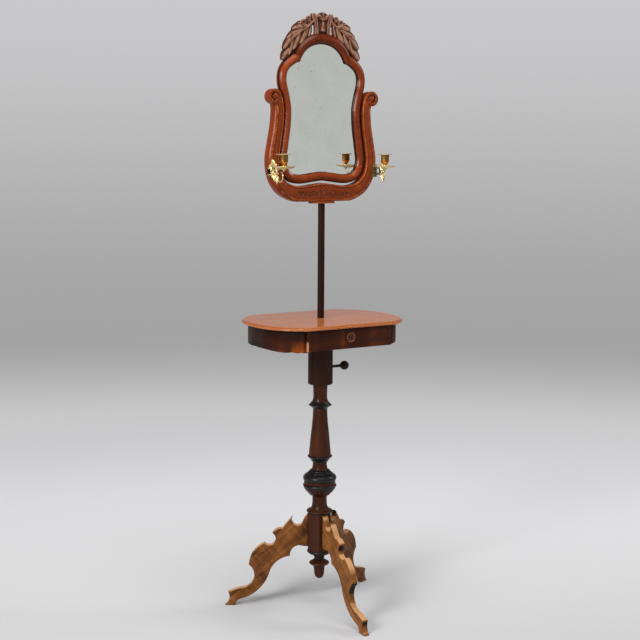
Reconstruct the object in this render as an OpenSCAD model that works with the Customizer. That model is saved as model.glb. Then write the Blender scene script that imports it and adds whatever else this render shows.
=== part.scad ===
// Shaving mirror on a tripod stand: a pillar with three sawn legs, a small table with a drawer,
// and a mirror hung in a yoke on a square rod that slides up and down in the pillar.
// Millimetres. Z is up, the front of the table faces -Y, the origin is on the floor under the pillar.

/* [Legs and block] */
// Height of the block's underside above the floor
block_z = 175; // [155:1:200]
// Height of the six-sided block that the legs are housed in
block_h = 115; // [105:1:130]
// Width of the block across its flats
block_af = 67; // [62:1:74]
// Distance from the pillar's axis to the toe of a leg
leg_reach = 282; // [240:1:320]
// Thickness of the board that a leg is sawn from
leg_t = 18; // [15:1:24]
// Turn of the tripod about the pillar, from one leg straight to the front
leg_turn = -3; // [-10:1:10]
// Depth of the dovetail that holds a leg in the block
dovetail_d = 11; // [8:1:14]
// Thickness of the dovetail at its neck
dovetail_t = 10; // [8:1:12]
// Thickness of the ring on top of the block
block_ring_t = 10; // [8:1:14]
// Radius of the ring on top of the block
block_ring_r = 38.5; // [38:0.5:44]
// Thickness of the black ring under the block
base_ring_t = 16; // [12:1:20]
// Radius of the black ring under the block
base_ring_r = 37; // [34:0.5:42]
// Length of the turned drop under the block
drop_h = 73; // [64:1:86]
// Radius of the drop's disc
drop_disc_r = 30; // [24:0.5:34]
// Radius of the drop's acorn
acorn_r = 17; // [14:0.5:20]

/* [Pillar] */
// Radius of the pillar's lower neck
neck_r = 21.5; // [20.5:0.5:25]
// Height of the lower neck and the bowl above it
baluster_h = 69; // [60:1:80]
// Largest radius of the bulb
bulb_r = 50; // [44:0.5:56]
// Thickness of the lower black ring of the bulb
bulb_low_t = 9; // [7:1:13]
// Height of the brown band between the bulb's rings
bulb_band_t = 10; // [7:1:15]
// Thickness of the upper black ring of the bulb
bulb_top_t = 21; // [16:1:26]
// Height of the collar and neck above the bulb
collar_h = 37; // [32:1:44]
// Radius of the collar above the bulb
collar_r = 36; // [32:0.5:40]
// Thickness of the black ring under the shaft
shaft_low_t = 18; // [14:1:22]
// Radius of the black ring under the shaft
shaft_low_r = 36.7; // [35:0.5:42]
// Length of the tapered shaft
shaft_h = 141; // [130:1:150]
// Radius of the shaft at its foot
shaft_foot_r = 33; // [28:0.5:35]
// Radius of the shaft at its head
shaft_head_r = 20.8; // [20:0.5:25]
// Thickness of the black ring above the shaft
shaft_top_t = 22; // [18:1:26]
// Radius of the black ring above the shaft
shaft_top_r = 34.4; // [30:0.5:40]
// Height of the upper neck
top_neck_h = 52; // [46:1:60]
// Radius of the upper neck at its waist
top_neck_r = 20.4; // [20:0.5:25]
// Radius of the spigots that join the turned pieces
spigot_r = 15; // [14.5:0.5:16]
// Radius of the sleeve that guides the mirror's rod
sleeve_r = 36.5; // [32:0.5:40]
// Length of the sleeve, up to the underside of the table top
sleeve_h = 186; // [170:1:200]

/* [Clamping screw] */
// Height of the clamping screw above the sleeve's lower end
screw_up = 48; // [40:1:56]
// Radius of the wooden screw
screw_r = 4.5; // [4:0.5:6]
// Distance from the pillar's axis to the middle of the screw's ball
ball_x = 84; // [70:1:100]
// Radius of the screw's ball
ball_r = 13.5; // [11:0.5:16]
// Thickness of the shoe between the screw and the rod
shoe_t = 3; // [2:0.5:5]

/* [Table] */
// Half of the table top's width
table_half = 235; // [215:1:255]
// Distance from the pillar's axis to the table top's back edge
table_back = 162; // [150:1:180]
// Distance from the pillar's axis to the front corners of the top's ends
table_front = 166; // [160:1:180]
// Half the length of the straight back edge
back_half = 144; // [130:1:160]
// Half the length of the straight front edge, over the drawer
front_half = 156; // [150:1:170]
// How far the straight front edge steps forward
front_step = 7; // [3:1:12]
// Thickness of the table top
top_t = 10; // [8:1:14]
// Overhang of the top over the apron
overhang = 18; // [14:1:22]
// Thickness of the apron boards
apron_t = 16; // [12:1:20]
// Height of the apron
apron_h = 59; // [52:1:70]
// Thickness of the board that closes the case from below
floor_t = 6; // [5:1:9]
// Thickness of the bearer that ties the top to the sleeve
bearer_t = 16; // [12:1:22]

/* [Drawer] */
// Half the width of the drawer front
front_w_half = 140; // [136:1:146]
// Thickness of the drawer front's lip over the apron
lip_t = 11; // [9:1:13]
// Thickness of the drawer front behind its lip
front_core_t = 8; // [6:1:10]
// How far the drawer front hangs below the apron
front_drop = 0; // [0:1:6]
// Half of the opening's width between the apron's ends
opening_half = 132; // [126:1:134]
// Thickness of the drawer's sides and back
side_t = 8; // [6:1:10]
// Depth of the drawer box behind its front
drawer_d = 86; // [70:1:92]
// Radius of the turned escutcheon
escutcheon_r = 14.5; // [12:0.5:18]
// Height of the keyhole above the lower edge of the drawer front
keyhole_up = 32; // [28:1:36]
// Height that the lock's bolt stands up when locked
bolt_throw = 6; // [4:0.5:7]

/* [Rod and yoke] */
// Side of the square rod
rod_w = 16; // [14:0.5:18]
// Visible length of the rod between the table top and the plate
rod_show = 334; // [280:1:380]
// Chamfer on the rod's corners
rod_chamfer = 2; // [1:0.5:3]
// Length of rod inside the table, sleeve and pillar
rod_hidden = 286; // [270:1:290]
// Length of the tenon on the rod's upper end inside the yoke
tenon_l = 25; // [18:1:30]
// Width of the plate between the rod and the yoke
plate_w = 70; // [60:1:90]
// Depth of that plate, front to back
plate_d = 31; // [26:1:40]
// Thickness of that plate
plate_t = 6; // [5:1:10]
// Height of the mirror's pivots above that plate
pivot_up = 252; // [248:1:258]
// Thickness of the yoke, front to back
yoke_t = 27; // [24:1:32]
// Width of the yoke's rail at its middle
rail_w = 53; // [46:1:60]
// Width of the yoke's arms at their foot
arm_foot_w = 36; // [32:1:42]
// Width of the yoke's arms at the pivots
arm_top_w = 31; // [28:1:36]
// Radius of the scroll on each arm
scroll_r = 21.5; // [18:0.5:23]
// Distance from the middle to the centre of a scroll
scroll_x = 163; // [158:1:168]
// Height of the scrolls' centres above the pivots
scroll_rise = 43; // [40:1:48]
// Height of the bead along the yoke's outer edge
bead_h = 3.5; // [2:0.5:5]
// Half the length of the rail between its joints with the arms, as a share of the opening's base
rail_share = 0.7; // [0.6:0.05:0.75]

/* [Mirror] */
// Half the width of the frame's opening at the waist
waist_half = 103; // [96:1:110]
// Half the width of the opening near its base
base_half = 118; // [112:1:124]
// Half the width of the opening at its shoulders
shoulder_half = 119; // [112:1:124]
// Half the width of the opening where the arch springs
cusp_half = 75; // [66:1:84]
// Depth of the opening below the pivots
base_drop = 167; // [163:1:171]
// Height of the shoulders above the pivots
shoulder_rise = 94; // [86:1:102]
// Height of the arch's springing above the pivots
cusp_rise = 141; // [132:1:148]
// Height of the opening's crown above the pivots
arch_rise = 193; // [184:1:204]
// Depth of the wave in the bottom rail
wave = 8; // [0:1:10]
// Width of the frame's rounded moulding
face_w = 26; // [22:1:28]
// Width of that moulding at the top of the arch
crown_w = 31; // [24:1:34]
// Thickness of the frame
frame_t = 24; // [20:1:28]
// Thickness of the glass
glass_t = 3; // [2:0.5:5]
// Thickness of the back board
back_t = 6; // [4:0.5:7]
// Gap between the frame and the yoke's rail
rail_gap = 6.5; // [5:0.5:9]
// Gap between the frame and the yoke's arms
arm_gap = 3; // [2:0.5:5]
// Radius of the pivot pins
pin_r = 3; // [2:0.5:4]
// Height of the crest above the frame's arch
crest_h = 58; // [48:1:70]
// Thickness of the crest's carving
crest_t = 15; // [12:1:18]

/* [Candle arms] */
// Distance from a candle arm's hinge to the middle of its cup
candle_reach = 86; // [78:1:100]
// Turn of the left arm towards the middle, from straight ahead
left_turn = -1; // [-10:1:40]
// Turn of the right arm towards the middle, from straight ahead
right_turn = 26; // [-10:1:40]
// Drop of the hinge's middle below the mirror's pivots
hinge_drop = 165; // [160:1:172]
// Radius of the candle cup's bore
candle_r = 9.8; // [8:0.1:11]
// Depth of the candle cup's bore
candle_d = 20; // [16:1:24]
// Radius of the disc round the cup's mouth
cup_rim_r = 20; // [16:0.5:24]
// Radius of the drip pan
pan_r = 31; // [26:0.5:36]
// Thickness of the arm's pierced casting
casting_t = 4; // [3:0.5:6]
// Width of the hinge's wall plate
wall_plate_w = 18; // [16:1:22]
// Height of the hinge's wall plate
wall_plate_h = 37; // [32:1:44]

/* [Hidden] */
// Clearance of a glued spigot in its socket
glue = 0.1;
// Clearance between pieces that slide on each other
slide = 0.3;
// Clearance round a turning pin
turn_gap = 0.05;
// Segments of round work
$fn = 64;
// Points in each stretch between two control points of a curve
steps = 3;
// Points in each arc of a leg's outline
arc_steps = 7;

// Heights, worked up from the floor
block_top = block_z + block_h;
baluster_z = block_top + block_ring_t;
bulb_low_z = baluster_z + baluster_h;
bulb_band_z = bulb_low_z + bulb_low_t;
bulb_top_z = bulb_band_z + bulb_band_t;
collar_z = bulb_top_z + bulb_top_t;
shaft_low_z = collar_z + collar_h;
shaft_z = shaft_low_z + shaft_low_t;
shaft_top_z = shaft_z + shaft_h;
top_neck_z = shaft_top_z + shaft_top_t;
sleeve_z = top_neck_z + top_neck_h;
under_top = sleeve_z + sleeve_h;
table_z = under_top + top_t;
plate_z = table_z + rod_show;
rod_end = table_z - rod_hidden;
yoke_z = plate_z + plate_t;
pivot_z = yoke_z + pivot_up;
screw_z = sleeve_z + screw_up;
case_z = under_top - apron_h;
drop_z = block_z - base_ring_t - drop_h;

// Joints between the pieces of the pillar
spigot_l = 14;
block_spigot_l = 25;
sleeve_tenon_r = 18;
sleeve_tenon_l = 18;
rod_bore_r = norm([rod_w / 2, rod_w / 2 - rod_chamfer]) + 0.6;
rod_bore_floor = rod_end - 114;
tenon_w = rod_w - 4;
drop_spigot_r = 11;

// Front to back places in the mirror, the yoke and the hinges
frame_front = -frame_t / 2 - 1;
frame_back = frame_front + frame_t;
lip_y = -1;
rebate_w = 8;
rebate_y = frame_back - back_t - glass_t;
yoke_face = -yoke_t / 2;
yoke_back = yoke_t / 2;
seat_gap = 1;
wall_plate_t = 2;
knuckle_r = 4.2;
knuckle_h = 12;
lug_h = 6;
hinge_pin_r = 1.5;
hinge_z = pivot_z - hinge_drop;
hinge_y = yoke_face - wall_plate_t - knuckle_r - 4.5;
pan_z = hinge_z + 10;

// The drawer's places
lip_inset = 11;
front_face_y = lip_inset - table_front - front_step;
lip_back_y = front_face_y + lip_t;
core_back_y = lip_back_y + front_core_t;
drawer_half = opening_half - 1.5;
drawer_bottom_z = case_z + floor_t + slide;
front_z = case_z - front_drop;
front_top_z = under_top - 2;
keyhole_z = front_z + keyhole_up;
guide_w = 8;
guide_h = 14;
lock_w = 40;
lock_h = 36;
lock_t = 6;
lock_y = core_back_y;
bolt_w = 16;
bolt_t = 3;
bolt_h = 22;
bolt_rest_z = front_top_z - bolt_h - 2;

mahogany = [0.47, 0.19, 0.09];
polished = [0.62, 0.28, 0.13];
walnut = [0.24, 0.10, 0.06];
birch = [0.55, 0.31, 0.13];
ebony = [0.05, 0.04, 0.05];
brass = [0.74, 0.60, 0.32];
pine = [0.72, 0.55, 0.34];

// Curves

function last(list) = list[len(list) - 1];
function unit(v) = v / norm(v);
function flip(list) = [for (p = list) [-p[0], p[1]]];
function reversed(list) = [for (i = [len(list) - 1 : -1 : 0]) list[i]];
function part_of(list, a, b) = [for (i = [a : b]) list[i]];
function ease(t) = t <= 0 ? 0 : t >= 1 ? 1 : t * t * (3 - 2 * t);

// One point of a smooth curve between b and c, with a and d as their neighbours
function blend(a, b, c, d, t) =
    0.5 * (2 * b + (c - a) * t + (2 * a - 5 * b + 4 * c - d) * t * t + (3 * b - a - 3 * c + d) * t * t * t);

// A smooth curve through the points, where before and after are the points past its ends
function curve(pts, before, after) =
    let (all = concat([before], pts, [after]), n = len(pts))
    concat(
        [for (i = [0 : n - 2]) for (k = [0 : steps - 1])
            blend(all[i], all[i + 1], all[i + 2], all[i + 3], k / steps)],
        [last(pts)]
    );

// An arc from p to q, without q: bulge is its height over half its chord, left of the way
function arc(p, q, bulge) =
    let (
        chord = q - p,
        side = [-chord[1], chord[0]],
        n = abs(bulge) < 0.02 ? 1 : arc_steps,
        half = 2 * atan(bulge)
    )
    n == 1 ? [p] : [for (k = [0 : n - 1])
        let (a = half * (2 * k / n - 1))
        p + chord * (sin(a) / sin(half) + 1) / 2 + side * (cos(a) - cos(half)) / (2 * sin(half))];

// An outline of arcs from entries [x, z, bulge to the next point]
function arcs(list) = [for (i = [0 : len(list) - 1])
    let (p = list[i], q = list[(i + 1) % len(list)])
    for (v = arc([p[0], p[1]], [q[0], q[1]], p[2])) v];

// Turned piece: a profile of [radius, height] points round the Z axis, standing at height z
module turned(z, profile) {
    translate([0, 0, z]) rotate_extrude($fn = 96) polygon(profile);
}

module tube_hole(r, z0, z1) {
    translate([0, 0, z0]) cylinder(r = r, h = z1 - z0);
}

// An upright board in the XZ plane: an outline from y0 to y1
module board(y0, y1) {
    translate([0, y1, 0]) rotate([90, 0, 0]) linear_extrude(y1 - y0) children();
}

// A moulding carried along two paired edges: section holds [share, offset, y] across the face
module moulding(inner, outer, section) {
    n = len(section);
    m = len(inner);
    points = [for (i = [0 : m - 1]) for (s = section)
        let (across = outer[i] - inner[i], p = inner[i] + across * s[0] + unit(across) * s[1])
        [p[0], s[2], p[1]]];
    sides = [for (i = [0 : m - 2]) for (k = [0 : n - 1])
        [i * n + k, i * n + (k + 1) % n, (i + 1) * n + (k + 1) % n, (i + 1) * n + k]];
    start = [for (k = [n - 1 : -1 : 0]) k];
    end = [for (k = [0 : n - 1]) (m - 1) * n + k];
    polyhedron(points, concat(sides, [start, end]), convexity = 6);
}

// Legs

// One leg's outline: shares of its reach past the block and of its height, with arcs between cusps
leg_shape = [
    [0.000, 0.990, 0.12], [0.066, 0.897, -1.10], [0.187, 0.957, 0.04], [0.308, 0.828, 0.33],
    [0.429, 0.776, -1.15], [0.529, 0.672, 0.28], [0.714, 0.438, -0.72], [0.805, 0.190, 0.08],
    [0.964, 0.141, -0.36], [1.000, 0.000, 0.00], [0.883, 0.000, -0.25], [0.819, 0.068, 0.26],
    [0.469, 0.350, -0.30], [0.219, 0.536, -0.40], [0.107, 0.651, 0.06], [0.000, 0.641, 0.00]
];

// The dovetails' ends, as heights above the block's underside
dovetail_z0 = 0.2 * block_h;
dovetail_z1 = 0.9 * block_h;

module leg(angle) {
    root = block_af / 2;
    outline = [for (p = leg_shape) [root + p[0] * (leg_reach - root), p[1] * block_top, p[2]]];
    rotate([0, 0, angle]) union() {
        board(-leg_t / 2, leg_t / 2) polygon(arcs(outline));
        translate([0, 0, block_z + dovetail_z0]) linear_extrude(dovetail_z1 - dovetail_z0) dovetail(0);
    }
}

// The dovetail's plan, grown by a clearance for its housing
module dovetail(grow) {
    root = block_af / 2;
    neck = dovetail_t / 2 + grow;
    tail = neck * 1.4;
    polygon([[root + 0.01, -neck], [root + 0.01, neck], [root - dovetail_d - grow, tail],
        [root - dovetail_d - grow, -tail]]);
}

module leg_front() {
    color(birch) leg(leg_turn + 270);
}

module leg_left() {
    color(birch) leg(leg_turn + 150);
}

module leg_right() {
    color(birch) leg(leg_turn + 30);
}

// Pillar

module hex_block() {
    color(walnut) difference() {
        rotate([0, 0, leg_turn]) translate([0, 0, block_z])
            cylinder(r = block_af / 2 / cos(30), h = block_h, $fn = 6);
        for (k = [0 : 2]) rotate([0, 0, leg_turn + 30 + 120 * k])
            translate([0, 0, block_z + dovetail_z0 - glue])
                linear_extrude(dovetail_z1 - dovetail_z0 + 2 * glue) dovetail(glue);
        tube_hole(spigot_r + glue, block_top - block_spigot_l - 1, block_top + 1);
        tube_hole(drop_spigot_r + glue, block_z - 1, block_z + spigot_l + 1);
    }
}

module block_ring() {
    r = block_ring_r;
    t = block_ring_t;
    hole = spigot_r + glue;
    color(walnut) turned(block_top, [[hole, 0], [r - 3, 0], [r - 1.5, t * 0.15], [r, t * 0.4],
        [r - 0.5, t * 0.65], [r - 3, t * 0.85], [r - 10, t], [hole, t]]);
}

module base_ring() {
    r = base_ring_r;
    t = base_ring_t;
    hole = drop_spigot_r + glue;
    color(ebony) turned(block_z - t, [[hole, 0], [r * 0.5, 0], [r * 0.62, t * 0.1], [r * 0.85, t * 0.35],
        [r - 1, t * 0.6], [r, t * 0.75], [r - 0.5, t * 0.92], [r - 2, t], [hole, t]]);
}

module drop_finial() {
    top = drop_h;
    disc = drop_disc_r;
    acorn_top = top * 0.53;
    color(walnut) turned(drop_z, [
        [0, 0], [acorn_r * 0.3, 0.5], [acorn_r * 0.6, 4], [acorn_r * 0.78, 10], [acorn_r * 0.88, 18],
        [acorn_r * 0.96, 30], [acorn_r, acorn_top], [acorn_r + 4, acorn_top + 2], [disc - 4, acorn_top + 5],
        [disc, acorn_top + 9], [disc - 1, acorn_top + 12], [disc * 0.7, acorn_top + 17],
        [drop_spigot_r + 3.5, acorn_top + 23], [drop_spigot_r + 4, top - 8], [drop_spigot_r + 7, top],
        [drop_spigot_r, top], [drop_spigot_r, top + base_ring_t + spigot_l],
        [0, top + base_ring_t + spigot_l]
    ]);
}

module baluster() {
    h = baluster_h;
    down = block_ring_t + block_spigot_l;
    hole = spigot_r + glue;
    color(walnut) difference() {
        turned(baluster_z, [
            [0, -down], [spigot_r, -down], [spigot_r, 0], [neck_r + 7, 0], [neck_r + 5, 3],
            [neck_r + 2, 9], [neck_r + 0.6, 18], [neck_r, h * 0.5], [neck_r + 1, h * 0.6],
            [neck_r + 7, h * 0.64], [bulb_r * 0.72, h * 0.75], [bulb_r * 0.84, h * 0.85],
            [bulb_r * 0.93, h * 0.95], [bulb_r * 0.96, h], [0, h]
        ]);
        tube_hole(hole, bulb_low_z - spigot_l - 1, bulb_low_z + 1);
    }
}

module bulb_lower_ring() {
    r = bulb_r;
    t = bulb_low_t;
    hole = spigot_r + glue;
    color(ebony) turned(bulb_low_z, [[hole, 0], [r * 0.95, 0], [r - 0.8, t * 0.25], [r, t * 0.5],
        [r - 0.8, t * 0.75], [r * 0.95, t], [hole, t]]);
}

module bulb_band() {
    r = bulb_r * 0.935;
    t = bulb_band_t;
    hole = spigot_r + glue;
    color(mahogany) turned(bulb_band_z, [[hole, 0], [r - 0.6, 0], [r, t * 0.5], [r - 0.6, t], [hole, t]]);
}

module bulb_upper_ring() {
    r = bulb_r - 0.5;
    t = bulb_top_t;
    hole = spigot_r + glue;
    color(ebony) turned(bulb_top_z, [[hole, 0], [r * 0.93, 0], [r * 0.98, t * 0.12], [r, t * 0.4],
        [r * 0.98, t * 0.62], [r * 0.92, t * 0.8], [r * 0.84, t * 0.93], [r * 0.76, t], [hole, t]]);
}

module neck_collar() {
    h = collar_h;
    down = bulb_top_t + bulb_band_t + bulb_low_t + spigot_l;
    hole = spigot_r + glue;
    color(mahogany) difference() {
        turned(collar_z, [
            [0, -down], [spigot_r, -down], [spigot_r, 0], [collar_r, 0], [collar_r, 3], [collar_r - 2, 5],
            [collar_r - 5.5, 8], [collar_r - 6, 10], [neck_r + 3, 13], [neck_r + 0.8, 18],
            [neck_r - 0.5, h * 0.75], [neck_r, h], [0, h]
        ]);
        tube_hole(hole, shaft_low_z - spigot_l - 1, shaft_low_z + 1);
    }
}

module shaft_lower_ring() {
    r = shaft_low_r;
    t = shaft_low_t;
    hole = spigot_r + glue;
    color(ebony) turned(shaft_low_z, [[hole, 0], [neck_r + 3, 0], [r * 0.75, t * 0.3], [r * 0.88, t * 0.6],
        [r, t * 0.86], [r - 0.6, t * 0.94], [r - 2.5, t], [hole, t]]);
}

module column_shaft() {
    h = shaft_h;
    below = shaft_low_t + spigot_l;
    above = h + shaft_top_t + spigot_l;
    color(mahogany) difference() {
        turned(shaft_z, [
            [0, -below], [spigot_r, -below], [spigot_r, 0], [shaft_foot_r, 0],
            [shaft_foot_r - (shaft_foot_r - shaft_head_r) * 0.42, h * 0.4],
            [shaft_head_r + (shaft_foot_r - shaft_head_r) * 0.16, h * 0.75],
            [shaft_head_r, h], [spigot_r, h], [spigot_r, above], [0, above]
        ]);
        tube_hole(rod_bore_r, rod_bore_floor, shaft_z + above + 1);
    }
}

module shaft_upper_ring() {
    r = shaft_top_r;
    t = shaft_top_t;
    hole = spigot_r + glue;
    color(ebony) turned(shaft_top_z, [[hole, 0], [shaft_head_r + 1, 0], [shaft_head_r + 2.5, t * 0.12],
        [r * 0.82, t * 0.3], [r, t * 0.5], [r * 0.86, t * 0.72], [top_neck_r + 4.5, t * 0.95],
        [top_neck_r + 4, t], [hole, t]]);
}

module top_neck() {
    h = top_neck_h;
    color(mahogany) difference() {
        turned(top_neck_z, [
            [0, 0], [top_neck_r + 3.5, 0], [top_neck_r + 1.6, 5], [top_neck_r + 0.4, 10], [top_neck_r, 18],
            [top_neck_r + 0.4, h * 0.6], [top_neck_r + 1.4, h], [sleeve_tenon_r, h],
            [sleeve_tenon_r, h + sleeve_tenon_l], [0, h + sleeve_tenon_l]
        ]);
        tube_hole(rod_bore_r, top_neck_z - 1, sleeve_z + sleeve_tenon_l + 1);
        tube_hole(spigot_r + glue, top_neck_z - 1, top_neck_z + spigot_l + 1);
    }
}

module sleeve() {
    way = rod_w + 2 * slide;
    color(walnut) difference() {
        turned(sleeve_z, [[0, 0], [sleeve_r - 2, 0], [sleeve_r, 2], [sleeve_r, sleeve_h], [0, sleeve_h]]);
        translate([-way / 2, -way / 2, sleeve_z]) cube([way, way, sleeve_h + 1]);
        tube_hole(sleeve_tenon_r + glue, sleeve_z - 1, sleeve_z + sleeve_tenon_l + 1);
        translate([0, 0, screw_z]) rotate([0, 90, 0]) cylinder(r = screw_r + turn_gap, h = sleeve_r + 1);
    }
}

// Clamping screw

shoe_r = screw_r - 0.2;
shoe_x = rod_w / 2 + 0.1;

module clamp_shoe() {
    color(pine) translate([shoe_x, 0, screw_z]) rotate([0, 90, 0]) cylinder(r = shoe_r, h = shoe_t);
}

module thumb_screw() {
    start = shoe_x + shoe_t + 0.1;
    color(walnut) translate([0, 0, screw_z]) rotate([0, 90, 0]) union() {
        translate([0, 0, start]) cylinder(r = screw_r, h = ball_x - start);
        translate([0, 0, ball_x - ball_r - 2]) cylinder(r1 = screw_r, r2 = screw_r + 2, h = 4);
        translate([0, 0, ball_x]) sphere(r = ball_r);
    }
}

// Table

end_front = 2.7;
end_back = 2.2;

// Half depth of a rounded end that passes the corner (x, y), for a half width and a roundness
function end_depth(half, x, y, power) = y / pow(1 - pow(x / half, power), 1 / power);
front_depth = end_depth(table_half, front_half, table_front, end_front);
back_depth = end_depth(table_half, back_half, table_back, end_back);

// One rounded end's edge, d inside the top's own edge, from the front corner to the back corner
function end_curve(d) =
    let (
        half = table_half - d,
        yf = table_front - d,
        yb = table_back - d,
        ff = asin(pow(min(1, yf / (front_depth - d)), end_front / 2)),
        fb = asin(pow(min(1, yb / (back_depth - d)), end_back / 2))
    )
    concat(
        [for (k = [0 : 12]) let (a = ff * (1 - k / 12))
            [half * pow(cos(a), 2 / end_front), -(front_depth - d) * pow(sin(a), 2 / end_front)]],
        [for (k = [1 : 12]) let (a = fb * k / 12)
            [half * pow(cos(a), 2 / end_back), (back_depth - d) * pow(sin(a), 2 / end_back)]]
    );

module plan(d) {
    polygon(concat(end_curve(d), reversed(flip(end_curve(d)))));
}

module top_plan(d) {
    plan(d);
    translate([d - front_half, d - table_front - front_step]) square([2 * (front_half - d), table_front]);
}

module table_top() {
    hole = rod_w + 2 * slide + 0.4;
    bolt_hole = bolt_w + 1;
    color(polished) difference() {
        union() {
            translate([0, 0, under_top]) linear_extrude(top_t * 0.3) top_plan(2.5);
            translate([0, 0, under_top + top_t * 0.3]) linear_extrude(top_t * 0.3) top_plan(0);
            translate([0, 0, under_top + top_t * 0.6]) linear_extrude(top_t * 0.25) top_plan(3);
            translate([0, 0, under_top + top_t * 0.85]) linear_extrude(top_t * 0.15) top_plan(7);
        }
        translate([-hole / 2, -hole / 2, under_top - 1]) cube([hole, hole, top_t + 2]);
        translate([-bolt_hole / 2, lock_y + 0.5, under_top - 1])
            cube([bolt_hole, bolt_t + 2, bolt_throw + 1]);
    }
}

// The apron, with its front brought forward to the back of the drawer's lip
module apron_ring() {
    corner = end_curve(overhang)[0];
    difference() {
        plan(overhang);
        plan(overhang + apron_t);
    }
    translate([-corner[0], lip_back_y + 0.2]) square([2 * corner[0], corner[1] - lip_back_y]);
}

module apron_end(side) {
    seam = back_half - overhang - 22;
    color(mahogany) translate([0, 0, case_z]) linear_extrude(apron_h) difference() {
        apron_ring();
        translate([side > 0 ? -table_half : -seam, 0]) square([table_half + seam, table_back]);
        translate([side > 0 ? -table_half : 0, -table_front]) square([table_half, table_front + 1]);
        translate([-opening_half, -table_front]) square([2 * opening_half, table_front]);
        translate([-table_half, -table_front]) square([2 * table_half, table_front + lip_back_y + 0.2]);
    }
}

module apron_left() {
    apron_end(-1);
}

module apron_right() {
    apron_end(1);
}

module apron_back() {
    seam = back_half - overhang - 22;
    y = table_back - overhang;
    color(mahogany) translate([-seam, y - apron_t, case_z]) cube([2 * seam, apron_t, apron_h]);
}

module case_floor() {
    color(pine) translate([0, 0, case_z]) linear_extrude(floor_t) difference() {
        union() {
            plan(overhang + apron_t + glue);
            translate([glue - opening_half, lip_back_y + slide])
                square([2 * (opening_half - glue), overhang + apron_t]);
        }
        circle(r = sleeve_r + glue);
    }
}

module drawer_guides() {
    front = overhang + apron_t + glue - table_front;
    back = core_back_y + drawer_d;
    color(pine) intersection() {
        for (s = [-1, 1])
            translate([s * (drawer_half + slide + guide_w / 2) - guide_w / 2, front, case_z + floor_t])
                cube([guide_w, back - front, guide_h]);
        translate([0, 0, case_z]) linear_extrude(apron_h) plan(overhang + apron_t + glue);
    }
}

bearer_half = table_half * 0.34;

module top_bearer() {
    front = -(sleeve_r + 6);
    back = table_back - overhang - apron_t;
    color(pine) difference() {
        translate([-bearer_half, front, under_top - bearer_t])
            cube([2 * bearer_half, back - front, bearer_t]);
        tube_hole(sleeve_r + glue, under_top - bearer_t - 1, under_top + 1);
    }
}

// Drawer

module keyhole(y0, y1) {
    translate([0, y1, keyhole_z]) rotate([90, 0, 0]) cylinder(r = 2.6, h = y1 - y0);
    translate([-1.2, y0, keyhole_z - 7]) cube([2.4, y1 - y0, 7]);
}

module drawer_front() {
    color(mahogany) difference() {
        union() {
            translate([-front_w_half, front_face_y, front_z])
                cube([2 * front_w_half, lip_t, front_top_z - front_z]);
            translate([-drawer_half, lip_back_y, drawer_bottom_z])
                cube([2 * drawer_half, front_core_t, front_top_z - drawer_bottom_z]);
        }
        keyhole(front_face_y - 1, core_back_y + 1);
    }
}

module drawer_side(s) {
    x = s * (drawer_half - side_t / 2) - side_t / 2;
    color(pine) translate([x, core_back_y, drawer_bottom_z])
        cube([side_t, drawer_d, front_top_z - drawer_bottom_z - 1]);
}

module drawer_side_left() {
    drawer_side(-1);
}

module drawer_side_right() {
    drawer_side(1);
}

module drawer_back() {
    inner = drawer_half - side_t;
    color(pine) translate([-inner, core_back_y + drawer_d - side_t, drawer_bottom_z])
        cube([2 * inner, side_t, front_top_z - drawer_bottom_z - 4]);
}

module drawer_bottom() {
    inner = drawer_half - side_t;
    color(pine) translate([-inner, core_back_y, drawer_bottom_z + 2])
        cube([2 * inner, drawer_d - side_t, 4]);
}

module escutcheon() {
    r = escutcheon_r;
    color(walnut) difference() {
        translate([0, front_face_y, keyhole_z]) rotate([90, 0, 0]) rotate_extrude()
            polygon([[0, 0], [r, 0], [r, 2], [r - 1, 3.6], [r - 2.5, 4], [r - 4, 3.4], [r - 5, 2.2],
                [r * 0.4, 2], [0, 2.4]]);
        keyhole(front_face_y - 5, front_face_y + 1);
    }
}

module lock_case() {
    z = front_top_z - lock_h;
    gap = 0.3;
    color(brass) difference() {
        translate([-lock_w / 2, lock_y, z]) cube([lock_w, lock_t, lock_h]);
        translate([-bolt_w / 2 - gap, lock_y + 1.5 - gap, bolt_rest_z - gap])
            cube([bolt_w + 2 * gap, bolt_t + 2 * gap, lock_h]);
        keyhole(lock_y - 1, lock_y + 1.4);
    }
}

module lock_bolt() {
    color(brass) translate([-bolt_w / 2, lock_y + 1.5, bolt_rest_z]) cube([bolt_w, bolt_t, bolt_h]);
}

// Mirror opening and frame

// Control points of the right half of the opening, from the base's middle to the cusp
side_points = [
    [0, -base_drop], [0.30 * base_half, -base_drop - wave * 0.45], [0.62 * base_half, -base_drop - wave],
    [0.82 * base_half, -base_drop - wave * 0.6], [0.93 * base_half, -base_drop + 5],
    [0.985 * base_half, -base_drop + 20], [base_half, -base_drop + 38],
    [(waist_half + 2 * base_half) / 3, -base_drop * 0.56],
    [(5 * waist_half + base_half) / 6, -base_drop * 0.26], [waist_half, 0],
    [(9 * waist_half + shoulder_half) / 10, shoulder_rise * 0.24],
    [(waist_half + shoulder_half) / 2, shoulder_rise * 0.58],
    [(waist_half + 9 * shoulder_half) / 10, shoulder_rise * 0.83], [shoulder_half, shoulder_rise],
    [shoulder_half * 0.985, shoulder_rise + (cusp_rise - shoulder_rise) * 0.30],
    [shoulder_half * 0.93, shoulder_rise + (cusp_rise - shoulder_rise) * 0.56],
    [cusp_half + (shoulder_half - cusp_half) * 0.50, cusp_rise - (cusp_rise - shoulder_rise) * 0.2],
    [cusp_half + (shoulder_half - cusp_half) * 0.22, cusp_rise - (cusp_rise - shoulder_rise) * 0.05],
    [cusp_half, cusp_rise]
];
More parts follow.
